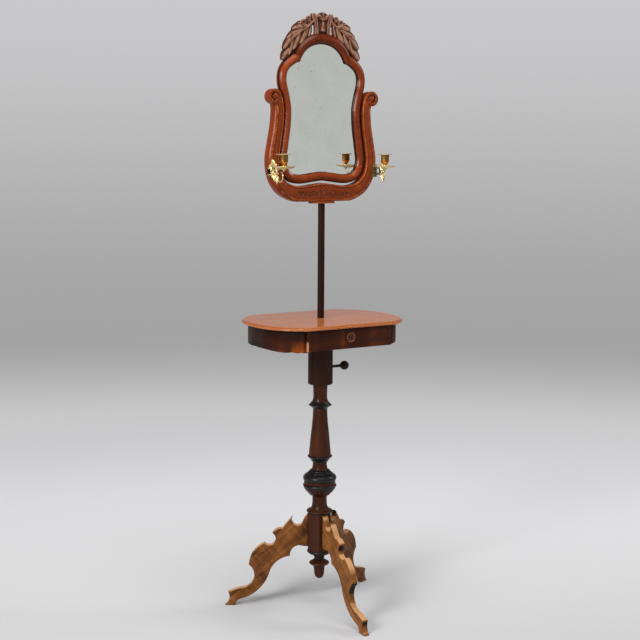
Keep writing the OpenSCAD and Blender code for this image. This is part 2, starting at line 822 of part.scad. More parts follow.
arch_points = [
    [cusp_half, cusp_rise], [cusp_half * 0.90, cusp_rise + (arch_rise - cusp_rise) * 0.30],
    [cusp_half * 0.74, cusp_rise + (arch_rise - cusp_rise) * 0.60],
    [cusp_half * 0.51, cusp_rise + (arch_rise - cusp_rise) * 0.84],
    [cusp_half * 0.25, cusp_rise + (arch_rise - cusp_rise) * 0.96], [0, arch_rise]
];

// The opening's edge, heights counted from the pivots
side_edge = curve(
    side_points, [-side_points[1][0], side_points[1][1]], 2 * side_points[18] - side_points[17]
);
arch_edge = curve(
    arch_points, 2 * arch_points[0] - arch_points[1], [-arch_points[4][0], arch_points[4][1]]
);
side_n = len(side_edge) - 1;
arch_n = len(arch_edge) - 1;

// Outward direction of an edge at one of its points
function outward(edge, i) =
    let (a = edge[max(i - 1, 0)], b = edge[min(i + 1, len(edge) - 1)], v = unit(b - a)) [v[1], -v[0]];

// The mitre between the side and the arch, long enough for both faces to meet
side_end = outward(side_edge, side_n);
arch_start = outward(arch_edge, 0);
mitre = (side_end + arch_start) / (1 + side_end * arch_start);

// Directions across the face: square to the edge, easing into the mitre, and upright in the middle
side_out = [for (i = [0 : side_n])
    let (w = ease((i - side_n + 7) / 7))
    i == 0 ? [0, -1] : outward(side_edge, i) * (1 - w) + mitre * w];
arch_out = [for (i = [0 : arch_n])
    let (w = ease(1 - i / 6))
    i == arch_n ? [0, 1] : outward(arch_edge, i) * (1 - w) + mitre * w];

// The edge moved outwards to the rebate, which is as wide at the mitre as elsewhere
function side_rebate(d) = [for (i = [0 : side_n]) side_edge[i] + unit(side_out[i]) * d];
function arch_rebate(d) = [for (i = [0 : arch_n]) arch_edge[i] + unit(arch_out[i]) * d];

// The frame's outer edge, wider at the top of the arch
side_outer = [for (i = [0 : side_n]) side_edge[i] + side_out[i] * face_w];
arch_outer = [for (i = [0 : arch_n])
    arch_edge[i] + arch_out[i] * (face_w + (crown_w - face_w) * ease(i / arch_n))];

frame_section = concat(
    [for (k = [0 : 8]) let (s = k / 8) [s, 0, lip_y + (frame_front - lip_y) * pow(sin(180 * s), 0.75)]],
    [[1, 0, frame_back], [0, rebate_w, frame_back], [0, rebate_w, rebate_y], [0, 0, rebate_y]]
);

// The joint of the frame's base with its sides lies at this point of the edge
base_joint = 15;

module frame_run(inner, outer) {
    translate([0, 0, pivot_z]) moulding(inner, outer, frame_section);
}

module frame_side(s) {
    inner = part_of(side_edge, base_joint, side_n);
    outer = part_of(side_outer, base_joint, side_n);
    color(mahogany) difference() {
        mirror([s < 0 ? 1 : 0, 0, 0]) frame_run(inner, outer);
        translate([s * (waist_half + face_w - 13), 0, pivot_z]) rotate([0, s * 90, 0])
            cylinder(r = pin_r + turn_gap, h = 40);
    }
}

module frame_left() {
    frame_side(-1);
}

module frame_right() {
    frame_side(1);
}

module frame_base() {
    inner = part_of(side_edge, 0, base_joint);
    outer = part_of(side_outer, 0, base_joint);
    color(mahogany) frame_run(
        concat(reversed(flip(part_of(inner, 1, base_joint))), inner),
        concat(reversed(flip(part_of(outer, 1, base_joint))), outer)
    );
}

module frame_arch() {
    color(mahogany) frame_run(
        concat(arch_edge, reversed(flip(part_of(arch_edge, 0, arch_n - 1)))),
        concat(arch_outer, reversed(flip(part_of(arch_outer, 0, arch_n - 1))))
    );
}

// A closed outline from its side and its arch
module outline(side, arch) {
    half = concat(side, part_of(arch, 1, arch_n));
    polygon(concat(half, reversed(flip(part_of(half, 1, len(half) - 2)))));
}

module mirror_glass() {
    color([0.72, 0.75, 0.74]) translate([0, 0, pivot_z]) board(rebate_y, rebate_y + glass_t)
        outline(side_rebate(rebate_w - 1), arch_rebate(rebate_w - 1));
}

module back_board() {
    color(pine) translate([0, 0, pivot_z]) board(frame_back - back_t, frame_back)
        outline(side_rebate(rebate_w - 0.5), arch_rebate(rebate_w - 0.5));
}

clip_at = [6, 21, 33, 46];
clip_l = 3 * back_t;
clip_w = 1.17 * back_t;

module back_clips() {
    color(brass) translate([0, frame_back, pivot_z]) for (s = [-1, 1]) for (i = clip_at) {
        p = side_edge[i] + side_out[i] * rebate_w;
        turn = atan2(side_out[i][1], side_out[i][0]);
        translate([s * p[0], 0, p[1]]) rotate([0, s > 0 ? -turn : turn - 180, 0]) union() {
            translate([-clip_l / 2, 0, -clip_w / 2]) cube([clip_l, clip_w * 0.23, clip_w]);
            translate([clip_l * 0.22, clip_w * 0.43, 0]) rotate([90, 0, 0])
                cylinder(r = clip_w * 0.4, h = clip_w * 0.43);
        }
    }
}

// Crest

crest_front = frame_back - crest_t;

// Leaves of one side, round the point between the arch's springings: [angle of the tip, reach of
// the tip as a share of the crest's height, angle of the root, width]
crest_leaves = [
    [0, 0.94, 24, 30], [15, 0.885, 41, 32], [30, 0.905, 49, 32], [44.5, 0.92, 56, 30],
    [57, 0.91, 64, 28], [69, 0.935, 73, 32]
];

// A leaf's outline: a spindle of a length and width with its root at the origin, along X
function leaf_edge(l, w) = [for (k = [0 : 8])
    let (t = k / 8) [l * t, w / 2 * pow(sin(180 * pow(0.18 + 0.82 * t, 1.3)), 0.7)]];

module leaf(l, w) {
    polygon(concat(leaf_edge(l, w), reversed([for (p = leaf_edge(l, w)) [p[0], -p[1]]])));
}

module crest_side() {
    reach = arch_rise + crown_w + crest_h - cusp_rise;
    root = cusp_half + face_w * 0.3;
    stem = [for (i = [1 : arch_n]) arch_outer[i] + arch_out[i] * crest_h * 0.16];
    polygon(concat(part_of(arch_edge, 1, arch_n), reversed(stem)));
    for (l = crest_leaves) {
        a = [root * cos(l[2]), cusp_rise + root * sin(l[2])];
        b = [reach * l[1] * cos(l[0]), cusp_rise + reach * l[1] * sin(l[0])];
        translate(a) rotate(atan2(b[1] - a[1], b[0] - a[0])) leaf(norm(b - a), l[3]);
    }
}

module crest() {
    rim = arch_rise + crown_w;
    top = rim + crest_h;
    fan_r = crest_h * 0.32;
    middle = [[22, rim - 8], [19, top - crest_h * 0.6], [25, top - crest_h * 0.15]];
    color(walnut) translate([0, 0, pivot_z]) board(crest_front, crest_front + crest_t) difference() {
        union() {
            crest_side();
            mirror([1, 0]) crest_side();
            polygon(concat(middle, reversed(flip(middle))));
            translate([0, top - fan_r]) circle(r = fan_r);
        }
        outline(side_outer, arch_outer);
    }
}

// Yoke

rail_i = floor(rail_share * 15);
arm_i = 30;

function yoke_gap(i) = rail_gap + (arm_gap - rail_gap) * ease((i - rail_i) / 8);
function yoke_width(i) =
    i <= 15 ? rail_w + (arm_foot_w - rail_w) * ease(i / 15)
    : arm_foot_w + (arm_top_w - arm_foot_w) * ease((i - 15) / 14);

yoke_inner = [for (i = [0 : arm_i]) side_edge[i] + side_out[i] * (face_w + yoke_gap(i))];
yoke_outer = [for (i = [0 : arm_i])
    let (q = side_edge[i] + side_out[i] * (face_w + yoke_gap(i) + yoke_width(i)))
    [q[0], i < 6 ? -pivot_up : max(q[1], -pivot_up)]];

// The bead's section: offset from the outer edge and place from front to back
bead_section = [
    [1, -9, yoke_face + 1], [1, -8, yoke_face - bead_h * 0.7], [1, -5, yoke_face - bead_h],
    [1, -1.5, yoke_face - bead_h * 0.6], [1, -0.5, yoke_face + 1]
];

module yoke_rail() {
    inner = part_of(yoke_inner, 0, rail_i);
    outer = part_of(yoke_outer, 0, rail_i);
    over = concat(reversed(flip(part_of(inner, 1, rail_i))), inner);
    under = concat(reversed(flip(part_of(outer, 1, rail_i))), outer);
    hole = tenon_w + 2 * glue;
    color(mahogany) difference() {
        translate([0, 0, pivot_z]) union() {
            board(yoke_face, yoke_back) polygon(concat(over, reversed(under)));
            moulding(over, under, reversed(bead_section));
        }
        translate([-hole / 2, -hole / 2, yoke_z - 1]) cube([hole, hole, tenon_l + 1.5]);
    }
}

// The horn on top of an arm, as shares of the scroll's radius from its centre
scroll_at = [scroll_x, scroll_rise];
horn = [[-1.26, -0.35], [-1.08, 0.15], [-0.85, 0.52], [-0.42, 0.9], [0, 0], [0, -0.9]];

module yoke_arm(s) {
    inner = part_of(yoke_inner, rail_i, arm_i);
    outer = part_of(yoke_outer, rail_i, arm_i);
    c = scroll_at;
    color(mahogany) difference() {
        mirror([s < 0 ? 1 : 0, 0, 0]) translate([0, 0, pivot_z]) union() {
            board(yoke_face, yoke_back)
                polygon(concat(inner, [for (p = horn) c + scroll_r * p], reversed(outer)));
            moulding(inner, outer, reversed(bead_section));
            translate([c[0], yoke_back, c[1]]) rotate([90, 0, 0])
                cylinder(r = scroll_r, h = yoke_t + bead_h);
        }
        translate([s * (waist_half + face_w), 0, pivot_z]) rotate([0, s * 90, 0])
            cylinder(r = pin_r + glue, h = 24);
        translate([s > 0 ? plate_x0 - seat_gap : -plate_x0 - 60 + seat_gap, yoke_face - 20,
            hinge_z - wall_plate_h / 2 - seat_gap]) cube([60, 20, wall_plate_h + 2 * seat_gap]);
        for (dz = plate_screw_at) translate([s * plate_screw_x, yoke_face + 12.2, hinge_z + dz])
            rotate([90, 0, 0]) cylinder(r = 1.1, h = 13);
    }
}

module yoke_arm_left() {
    yoke_arm(-1);
}

module yoke_arm_right() {
    yoke_arm(1);
}

module yoke_plate() {
    hole = tenon_w + 2 * glue;
    color(walnut) difference() {
        translate([-plate_w / 2, -plate_d / 2, plate_z]) cube([plate_w, plate_d, plate_t]);
        translate([-hole / 2, -hole / 2, plate_z - 1]) cube([hole, hole, plate_t + 2]);
    }
}

module mirror_rod() {
    h = rod_w / 2;
    c = h - rod_chamfer;
    color(walnut) union() {
        translate([0, 0, rod_end]) linear_extrude(plate_z - rod_end)
            polygon([[h, -c], [h, c], [c, h], [-c, h], [-h, c], [-h, -c], [-c, -h], [c, -h]]);
        translate([-tenon_w / 2, -tenon_w / 2, plate_z]) cube([tenon_w, tenon_w, plate_t + tenon_l]);
    }
}

pin_l = 33;

module pivot_pins() {
    color("silver") for (s = [-1, 1]) translate([s * (waist_half + face_w - 12), 0, pivot_z])
        rotate([0, s * 90, 0]) cylinder(r = pin_r, h = pin_l);
}

// Hinges and candle arms

yoke_hinge_half = base_half + face_w + arm_gap + arm_foot_w;
hinge_x = yoke_hinge_half + 6;
plate_x0 = hinge_x - knuckle_r - 3 - wall_plate_w;
plate_screw_x = plate_x0 + wall_plate_w * 0.42;
plate_screw_at = [-wall_plate_h * 0.36, wall_plate_h * 0.36];

module wall_plate(s) {
    lug_x = plate_x0 + wall_plate_w - 5;
    color(brass) difference() {
        union() {
            translate([s > 0 ? plate_x0 : -plate_x0 - wall_plate_w, yoke_face - wall_plate_t,
                hinge_z - wall_plate_h / 2]) cube([wall_plate_w, wall_plate_t, wall_plate_h]);
            for (z = [hinge_z - knuckle_h / 2 - lug_h, hinge_z + knuckle_h / 2]) {
                translate([s * hinge_x, hinge_y, z]) cylinder(r = knuckle_r, h = lug_h);
                translate([s > 0 ? lug_x : -hinge_x, hinge_y - 2, z])
                    cube([hinge_x - lug_x, yoke_face - hinge_y + 1, lug_h]);
            }
        }
        translate([s * hinge_x, hinge_y, hinge_z - 20]) cylinder(r = hinge_pin_r + turn_gap, h = 40);
        for (dz = plate_screw_at) translate([s * plate_screw_x, yoke_face + 1, hinge_z + dz])
            rotate([90, 0, 0]) cylinder(r = 1.3, h = 5);
    }
}

module wall_plate_left() {
    wall_plate(-1);
}

module wall_plate_right() {
    wall_plate(1);
}

module plate_screws() {
    color(brass) for (s = [-1, 1]) for (dz = plate_screw_at)
        translate([s * plate_screw_x, yoke_face, hinge_z + dz]) union() {
            translate([0, 12, 0]) rotate([90, 0, 0]) cylinder(r = 1, h = 12 + wall_plate_t);
            translate([0, -wall_plate_t, 0]) rotate([90, 0, 0]) cylinder(r1 = 3, r2 = 1.6, h = 1.2);
        }
}

module hinge_pins() {
    reach = knuckle_h + 2 * lug_h;
    color(brass) for (s = [-1, 1]) translate([s * hinge_x, hinge_y, hinge_z - reach / 2]) union() {
        cylinder(r = hinge_pin_r, h = reach);
        translate([0, 0, reach]) cylinder(r = hinge_pin_r + 1.2, h = 1.5);
    }
}

// Places a candle arm's pieces: local X runs from the hinge to the cup
module at_hinge(s) {
    lean = s > 0 ? right_turn : left_turn;
    translate([s * hinge_x, hinge_y, 0]) rotate([0, 0, -90 - s * lean]) children();
}

// An upright ring or part of one in the arm's plane: centre, radius of its middle line and angles
module scroll_2d(x, z, r, w, a0, a1) {
    n = max(4, ceil((a1 - a0) / 18));
    rays = [for (k = [0 : n]) let (a = a0 + (a1 - a0) * k / n) [cos(a), sin(a)]];
    translate([x, z]) polygon(concat(rays * (r + w / 2), reversed(rays) * (r - w / 2)));
}

module candle_arm(s) {
    r = candle_reach;
    half = casting_t / 2;
    boss_h = 4;
    color(brass) at_hinge(s) translate([0, 0, hinge_z]) difference() {
        union() {
            translate([0, 0, -knuckle_h / 2 + slide]) cylinder(r = knuckle_r, h = knuckle_h - 2 * slide);
            board(-half, half) union() {
                translate([3, -knuckle_h / 2 + slide]) square([6, knuckle_h - 2 * slide]);
                scroll_2d(r * 0.76, -3, 9, 3.5, 0, 345);
                scroll_2d(r * 0.40, 0, 15, 4, 150, 375);
                scroll_2d(r * 0.20, 3, 8, 4, -40, 250);
                polygon([[r * 0.1, 7], [r * 0.14, 17], [r * 0.25, 33], [r * 0.32, 21], [r * 0.42, 14],
                    [r * 0.36, 10], [r * 0.24, 18], [r * 0.19, 10]]);
                polygon([[r * 0.42, -12], [r * 0.5, -25], [r * 0.53, -13]]);
                polygon([[r * 0.30, -12], [r * 0.32, -22], [r * 0.39, -13]]);
                polygon([[r * 0.34, 7], [r * 0.34, 11], [r * 0.9, 10], [r * 1.02, 10],
                    [r * 1.02, 7], [r * 0.9, 6]]);
                scroll_2d(r * 0.62, 1, 9, 3, 20, 175);
            }
            translate([r, 0, pan_z - hinge_z - boss_h - 4]) cylinder(r = 6, h = boss_h + 4);
        }
        translate([0, 0, -40]) cylinder(r = hinge_pin_r + turn_gap, h = 80);
        translate([r, 0, pan_z - hinge_z - 7]) cylinder(r = 2.6, h = 20);
    }
}

module candle_arm_left() {
    candle_arm(-1);
}

module candle_arm_right() {
    candle_arm(1);
}

module drip_pan(s) {
    r = pan_r;
    color(brass) at_hinge(s) translate([candle_reach, 0, pan_z]) rotate_extrude() polygon([
        [2.7, 0], [r * 0.4, 0], [r * 0.7, 1.4], [r * 0.93, 3.6], [r, 4.2], [r, 5.4], [r * 0.92, 4.8],
        [r * 0.68, 2.6], [r * 0.4, 1.2], [2.7, 1.2]
    ]);
}

module drip_pan_left() {
    drip_pan(-1);
}

module drip_pan_right() {
    drip_pan(1);
}

module candle_cup(s) {
    wall = candle_r + 1.4;
    base = pan_z + 1.2;
    floor_z = 17.5;
    top = floor_z + candle_d;
    color(brass) at_hinge(s) translate([candle_reach, 0, base]) difference() {
        rotate_extrude() polygon([
            [0, -7], [2.5, -7], [2.5, 0], [7, 0], [7, 1.5], [4, 3], [5.5, 5], [4.5, 7], [8, 11],
            [wall - 0.6, floor_z - 2], [wall, floor_z], [wall - 0.4, top - 6], [wall, top - 1.6],
            [cup_rim_r - 2, top - 1.6], [cup_rim_r, top - 0.8], [cup_rim_r - 1, top], [0, top]
        ]);
        translate([0, 0, floor_z]) cylinder(r = candle_r, h = candle_d + 1);
    }
}

module candle_cup_left() {
    candle_cup(-1);
}

module candle_cup_right() {
    candle_cup(1);
}

leg_front();
leg_left();
leg_right();
hex_block();
block_ring();
base_ring();
drop_finial();
baluster();
bulb_lower_ring();
bulb_band();
bulb_upper_ring();
neck_collar();
shaft_lower_ring();
column_shaft();
shaft_upper_ring();
top_neck();
sleeve();
table_top();
apron_left();
apron_right();
apron_back();
case_floor();
drawer_guides();
top_bearer();
drawer_front();
drawer_side_left();
drawer_side_right();
drawer_back();
drawer_bottom();
escutcheon();
lock_case();
lock_bolt();
thumb_screw();
clamp_shoe();
mirror_rod();
yoke_plate();
yoke_rail();
yoke_arm_left();
yoke_arm_right();
pivot_pins();
wall_plate_left();
wall_plate_right();
plate_screws();
hinge_pins();
frame_arch();
frame_left();
frame_right();
frame_base();
mirror_glass();
back_board();
back_clips();
crest();
candle_arm_left();
candle_arm_right();
drip_pan_left();
drip_pan_right();
candle_cup_left();
candle_cup_right();
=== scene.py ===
import math

import bmesh
import bpy
import numpy as np
from mathutils import Matrix


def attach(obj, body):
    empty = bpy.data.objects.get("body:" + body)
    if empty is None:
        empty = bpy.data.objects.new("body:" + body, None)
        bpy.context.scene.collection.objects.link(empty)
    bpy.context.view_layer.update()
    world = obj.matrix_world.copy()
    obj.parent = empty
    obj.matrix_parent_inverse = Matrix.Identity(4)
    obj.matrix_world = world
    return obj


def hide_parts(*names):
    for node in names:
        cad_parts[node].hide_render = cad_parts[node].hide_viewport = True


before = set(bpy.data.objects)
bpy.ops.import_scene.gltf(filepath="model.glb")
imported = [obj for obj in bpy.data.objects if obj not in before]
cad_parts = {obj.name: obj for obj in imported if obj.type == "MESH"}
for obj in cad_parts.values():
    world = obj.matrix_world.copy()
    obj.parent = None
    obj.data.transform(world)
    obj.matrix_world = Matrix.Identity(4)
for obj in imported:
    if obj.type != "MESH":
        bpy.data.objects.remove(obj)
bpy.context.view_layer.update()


# Legs
# Three boards sawn to one scooped pattern from streaky birch, stained golden brown and dovetailed
# into the block. The sawn edges have a little wear all round; where they face up they are painted
# pale as a highlight, and where they are steep or face down, as in the scoops, painted dark as
# shade.

def ease(t):
    """0 up to t = 0, 1 from t = 1, and 3t² - 2t³ between."""
    t = np.clip(t, 0, 1)
    return t * t * (3 - 2 * t)


def stack(*values):
    """Arrays of coordinates or of other values, stretched to one shape and set side by side."""
    return np.stack(np.broadcast_arrays(*values), -1)


def turn(x, y, degrees):
    """x and y turned about the origin."""
    c, s = math.cos(math.radians(degrees)), math.sin(math.radians(degrees))
    return x * c - y * s, x * s + y * c


def unit(v):
    """Vectors scaled to length 1."""
    return v / np.linalg.norm(v, axis=-1, keepdims=True)


def left(v):
    """Vectors turned a quarter to the left."""
    return stack(-v[..., 1], v[..., 0])


def skin(name, points, faces, grain, worn=0.0, hollow=0.0, crease=42, stain=0.0, shade=0.0):
    """A closed mesh from points in mm and faces. Doubles are merged, faces turned outwards, and
    edges over crease degrees and faces of more than four corners kept sharp. Each point keeps its
    place in the wood (grain, in mm, with x along it); how pale it is (worn), from wear and, on the
    legs, the crest and the table's edge, also from painted highlight; how deep and dark it lies
    (hollow), with grime and, on the legs and the crest, painted shade; how black it is (stain),
    stained, and on the drop's disc a painted shade; and how much lighter the wood runs there
    (shade), its own tone, and on the front leg, the arch and the right length painted light and
    shade."""
    mesh = bpy.data.meshes.new(name)
    mesh.from_pydata((points.reshape(-1, 3) * 0.001).tolist(), [], faces)
    for label, values in (("grain", grain * 0.001), ("worn", worn), ("hollow", hollow),
                          ("stain", stain), ("shade", shade)):
        vector = label == "grain"
        values = np.broadcast_to(values, points.shape[:-1] + (3,) * vector)
        attribute = mesh.attributes.new(label, "FLOAT_VECTOR" if vector else "FLOAT", "POINT")
        attribute.data.foreach_set("vector" if vector else "value",
                                   np.ascontiguousarray(values, np.float32).ravel())
    shell = bmesh.new()
    shell.from_mesh(mesh)
    bmesh.ops.remove_doubles(shell, verts=shell.verts, dist=2e-6)
    bmesh.ops.recalc_face_normals(shell, faces=shell.faces)
    for face in shell.faces:
        face.smooth = True
    for edge in shell.edges:
        flat = any(len(face.verts) > 4 for face in edge.link_faces)
        edge.smooth = not flat and edge.calc_face_angle(0.0) < math.radians(crease)
    shell.to_mesh(mesh)
    shell.free()
    piece = bpy.data.objects.new(name, mesh)
    bpy.context.scene.collection.objects.link(piece)
    return piece


def quads(rows, columns, rows_close=False, start=0):
    """Four-sided faces between the neighbours of a grid whose rows are closed rings."""
    i, j = np.meshgrid(np.arange(rows - (not rows_close)), np.arange(columns), indexing="ij")
    below, beside = (i + 1) % rows, (j + 1) % columns
    corners = i * columns + j, below * columns + j, below * columns + beside, i * columns + beside
    return (start + np.stack(corners, -1).reshape(-1, 4)).tolist()


def loft(rows, rows_close=False, start=0):
    """Faces of a skin over rows of points, each row a closed ring. Unless the rows close on
    themselves, a flat face covers the first and the last row, if it is more than one point."""
    count, size = rows.shape[:2]
    faces = quads(count, size, rows_close, start)
    for k in (0, count - 1):
        if not rows_close and np.ptp(rows[k], 0).max() > 0:
            faces.append(list(range(start + k * size, start + (k + 1) * size)))
    return faces


def arcs(entries, gap, step):
    """A closed outline of arcs between entries (x, z, bulge), bulge being an arc's height over half
    its chord. On an arc of half angle A, the point at angle a lies sin(a)/(2 sin A) along the chord
    from its middle and (cos a - cos A)/(2 sin A) beside it. Near corners points keep a gap."""
    parts = []
    for (x, z, bulge), following in zip(entries, entries[1:] + entries[:1]):
        start, chord = np.array([x, z]), np.array(following[:2]) - (x, z)
        half = 2 * math.atan(bulge)
        bent = abs(half) > 0.04
        length = np.hypot(*chord) * (half / math.sin(half) if bent else 1)
        inner = np.linspace(gap, length - gap, max(2, round((length - 2 * gap) / step) + 1))
        along = np.concatenate([[0], inner / length])[:, None]
        beside = 0 * along
        if bent:
            a = half * (2 * along - 1)
            along = (np.sin(a) / math.sin(half) + 1) / 2
            beside = (np.cos(a) - math.cos(half)) / (2 * math.sin(half))
        parts.append(start + chord * along + left(chord) * beside)
    return np.vstack(parts)


def inset(outline, distance):
    """An outline moved inwards, each point along the mitre m of its two edges. The outline runs
    clockwise. A point moves no further than 0.7 of the radius v²/(2 v·m) of the smallest circle
    that touches the outline there and reaches another point of it, v away."""
    before = outline - np.roll(outline, 1, 0)
    normals = [-left(unit(v)) for v in (before, np.roll(before, -1, 0))]
    lean = 1 + (normals[0] * normals[1]).sum(1, keepdims=True)
    mitre = (normals[0] + normals[1]) / np.maximum(lean, 0.35)
    away = outline[None] - outline[:, None]
    toward = (away * unit(mitre)[:, None]).sum(-1)
    radius = np.where(toward > 1e-6, (away ** 2).sum(-1) / np.maximum(2 * toward, 1e-6), 99)
    room = 0.7 * radius.min(1, keepdims=True) / np.linalg.norm(mitre, axis=1)[:, None]
    return outline + np.minimum(distance, room) * mitre


leg_shape = [
    (0.000, 0.990, 0.12), (0.066, 0.897, -1.10), (0.187, 0.957, 0.04), (0.308, 0.828, 0.33),
    (0.429, 0.776, -1.15), (0.529, 0.672, 0.28), (0.714, 0.438, -0.72), (0.805, 0.190, 0.08),
    (0.964, 0.141, -0.36), (1.000, 0.000, 0.00), (0.883, 0.000, -0.25), (0.819, 0.068, 0.26),
    (0.469, 0.350, -0.30), (0.219, 0.536, -0.40), (0.107, 0.651, 0.06), (0.000, 0.641, 0.00),
]
leg_root, leg_reach, leg_top, leg_half = 33.5, 282, 290, 9
corner_round, grain_slope = 2.4, 42


def leg(name, heading, shade):
    """A sawn board: its outline carried from face to face, with rounded corners. Its edge has a
    little wear all round; where it faces up it is painted pale as a highlight, and where it is
    steep or faces down it is painted dark as shade, both strongest high up and far out. shade
    lightens its wood, a painted light on the front leg. It stands out in its heading."""
    long = leg_reach - leg_root
    outline = arcs([(leg_root + x * long, z * leg_top, b) for x, z, b in leg_shape], 2.9, 1.5)
    before = unit(outline - np.roll(outline, 1, 0))
    up = (before + np.roll(before, -1, 0))[:, 0] / 2
    up = np.convolve(np.concatenate([up[-3:], up, up[:3]]), np.ones(7) / 7, "valid")
    lit, shaded = ease((up - 0.3) / 0.45), ease((0.3 - up) / 0.5)
    rings = []
    for a in np.radians([0, 22.5, 45, 67.5, 90]):
        ring = inset(outline, corner_round * (1 - math.sin(a)))
        rings.append(stack(ring[:, 0], leg_half - corner_round * (1 - math.cos(a)), ring[:, 1]))
    rings = np.array(rings + [ring * (1, -1, 1) for ring in rings[::-1]])
    rim = np.array([0.1, 0.6, 0.9, 1, 1, 1, 1, 0.9, 0.6, 0.1])[:, None]
    x, y, z = np.moveaxis(rings, -1, 0)
    upper = ease((z / leg_top - 0.65 + 0.9 * (x - leg_root) / long) / 0.4)
    return skin(name, stack(*turn(x, y, heading), z), loft(rings),
                stack(*turn(x, z, grain_slope), y + heading),
                rim * (0.15 + 0.85 * lit) * (0.45 + 0.55 * upper), rim ** 2 * shaded * upper,
                shade=shade)


def plug(tree, node, inputs):
    """Gives a node's inputs their values, or joins them to the sockets of other nodes."""
    for key, value in inputs.items():
        if isinstance(value, bpy.types.NodeSocket):
            tree.links.new(value, node.inputs[key])
        else:
            node.inputs[key].default_value = value


def add(tree, kind, inputs=None, **settings):
    """The outputs of a new shader node with these properties and inputs."""
    made = tree.nodes.new("ShaderNode" + kind)
    for key, value in settings.items():
        setattr(made, key, value)
    plug(tree, made, inputs or {})
    return made.outputs


def mix(tree, share, a, b):
    """The colour between a and b."""
    return add(tree, "Mix", {0: share, 6: a, 7: b}, data_type="RGBA")[2]


def ramp(tree, value, low, high, to_low=0.0, to_high=1.0):
    """A value carried smoothly from the range low to high to another range, and held there."""
    return add(tree, "MapRange", {"Value": value, "From Min": low, "From Max": high,
                                  "To Min": to_low, "To Max": to_high},
               interpolation_type="SMOOTHSTEP")[0]


def stretched(tree, place, by):
    """A place multiplied along each axis."""
    return add(tree, "VectorMath", {0: place, 1: by}, operation="MULTIPLY")[0]


def noise(tree, place, waves, detail=2.0, distortion=0.0):
    """Noise of a place in metres, with so many waves to the metre along each axis."""
    return add(tree, "TexNoise", {"Vector": stretched(tree, place, waves), "Scale": 1.0,
                                  "Detail": detail, "Distortion": distortion})[0]


def calc(tree, operation, *values):
    """The outcome of an operation on numbers or sockets."""
    return add(tree, "Math", dict(enumerate(values)), operation=operation)[0]


def sums(tree, *terms):
    """The sum of sockets, each times its weight."""
    total = 0.0
    for socket, weight in terms:
        total = calc(tree, "MULTIPLY_ADD", socket, weight, total)
    return total


def relief(tree, height, strength, distance):
    """The normal of a surface raised by height."""
    return add(tree, "Bump", {"Strength": strength, "Distance": distance, "Height": height})[0]


def group(name, inputs, outputs):
    """A new node group, what it is given and its far end. Sockets are listed by kind and label."""
    tree = bpy.data.node_groups.new(name, "ShaderNodeTree")
    for direction, sockets in (("INPUT", inputs), ("OUTPUT", outputs)):
        for kind, label in (socket.split() for socket in sockets.split(", ")):
            tree.interface.new_socket(label, in_out=direction, socket_type="NodeSocket" + kind)
    return tree, tree.nodes.new("NodeGroupInput").outputs, tree.nodes.new("NodeGroupOutput")


def timber_group():
    """Planed wood. Broad bands, growth rings, fibres, pores and cross figure are noises of the
    place in the grain, long along it. Their sum runs the colour from dark to middle to light."""
    tree, given, out = group(
        "timber", "Vector Grain, Color Dark, Color Middle, Color Light, Float Bands, Float Rings, "
        "Float Figure, Float Pores, Float Coarse, Float Shade", "Color Color, Float Height")
    place = given["Grain"]
    broad = add(tree, "VectorMath", {0: place, "Scale": given["Coarse"]}, operation="SCALE")[0]
    bands = noise(tree, broad, (7, 42, 42), 3, 0.9)
    rings = add(tree, "TexWave", {"Vector": stretched(tree, broad, (3, 75, 30)), "Scale": 1.0,
                                  "Distortion": 7.0, "Detail": 2.0, "Detail Scale": 0.8},
                bands_direction="Y")[1]
    figure = noise(tree, broad, (120, 16, 16), 2, 0.6)
    fibres = noise(tree, place, (55, 1500, 1500), 2)
    pores = ramp(tree, noise(tree, place, (130, 2700, 2700), 1), 0.6, 0.72)
    terms = [(calc(tree, "MULTIPLY", calc(tree, "SUBTRACT", socket, 0.5), share), weight)
             for socket, share, weight in (
                 (bands, given["Bands"], 1.6), (rings, given["Rings"], 0.7),
                 (figure, given["Figure"], 1.5), (fibres, 0.35, 1.0))]
    tone = sums(tree, *terms, (given["Shade"], 1.0))
    colour = mix(tree, ramp(tree, tone, -0.5, 0.05), given["Dark"], given["Middle"])
    colour = mix(tree, ramp(tree, tone, -0.02, 0.55), colour, given["Light"])
    dark = calc(tree, "MULTIPLY", pores, given["Pores"])
    plug(tree, out, {"Color": mix(tree, dark, colour, given["Dark"]),
                     "Height": sums(tree, (fibres, 0.6), (dark, -1.0))})
    return tree


def wear_and_light_group():
    """Wear and grime, with painted highlight and shade. Stained parts, and the drop's painted
    shade, are black. Where the piece is pale, from wear and painted highlight, the colour goes to
    the pale wood, broken up by a noise of the place, and where it is deep, from hollows and painted
    shade, it goes to the dark colour of grime and shade."""
    tree, given, out = group(
        "wear_and_light", "Color Color, Vector Place, Float Worn, Color Pale, Float Hollow, Color Dirt, "
        "Float Stain", "Color Color, Float Bare")
    broken = noise(tree, given["Place"], (60, 60, 60), 4, 0.4)
    bare_and_lit = ramp(tree, sums(tree, (given["Worn"], 0.75), (broken, 0.75)), 0.62, 0.95)
    bare_and_lit = calc(tree, "MULTIPLY", bare_and_lit, given["Worn"])
    deep = ramp(tree, sums(tree, (given["Hollow"], 0.8), (broken, 0.4)), 0.3, 0.95)
    colour = mix(tree, given["Stain"], given["Color"], (0.008, 0.008, 0.009, 1))
    colour = mix(tree, bare_and_lit, colour, given["Pale"])
    plug(tree, out, {"Color": mix(tree, deep, colour, given["Dirt"]), "Bare": bare_and_lit})
    return tree


timber, wear_and_light = timber_group(), wear_and_light_group()


def ink(*colour):
    """A colour as a picture holds it, 0 to 255, as light."""
    c = np.array(colour) / 255
    return (*np.where(c > 0.04045, ((c + 0.055) / 1.055) ** 2.4, c / 12.92), 1.0)


def fresh(name):
    """A new material, its tree and its shader."""
    material = bpy.data.materials.new(name)
    material.use_nodes = True
    return material, material.node_tree, material.node_tree.nodes["Principled BSDF"]


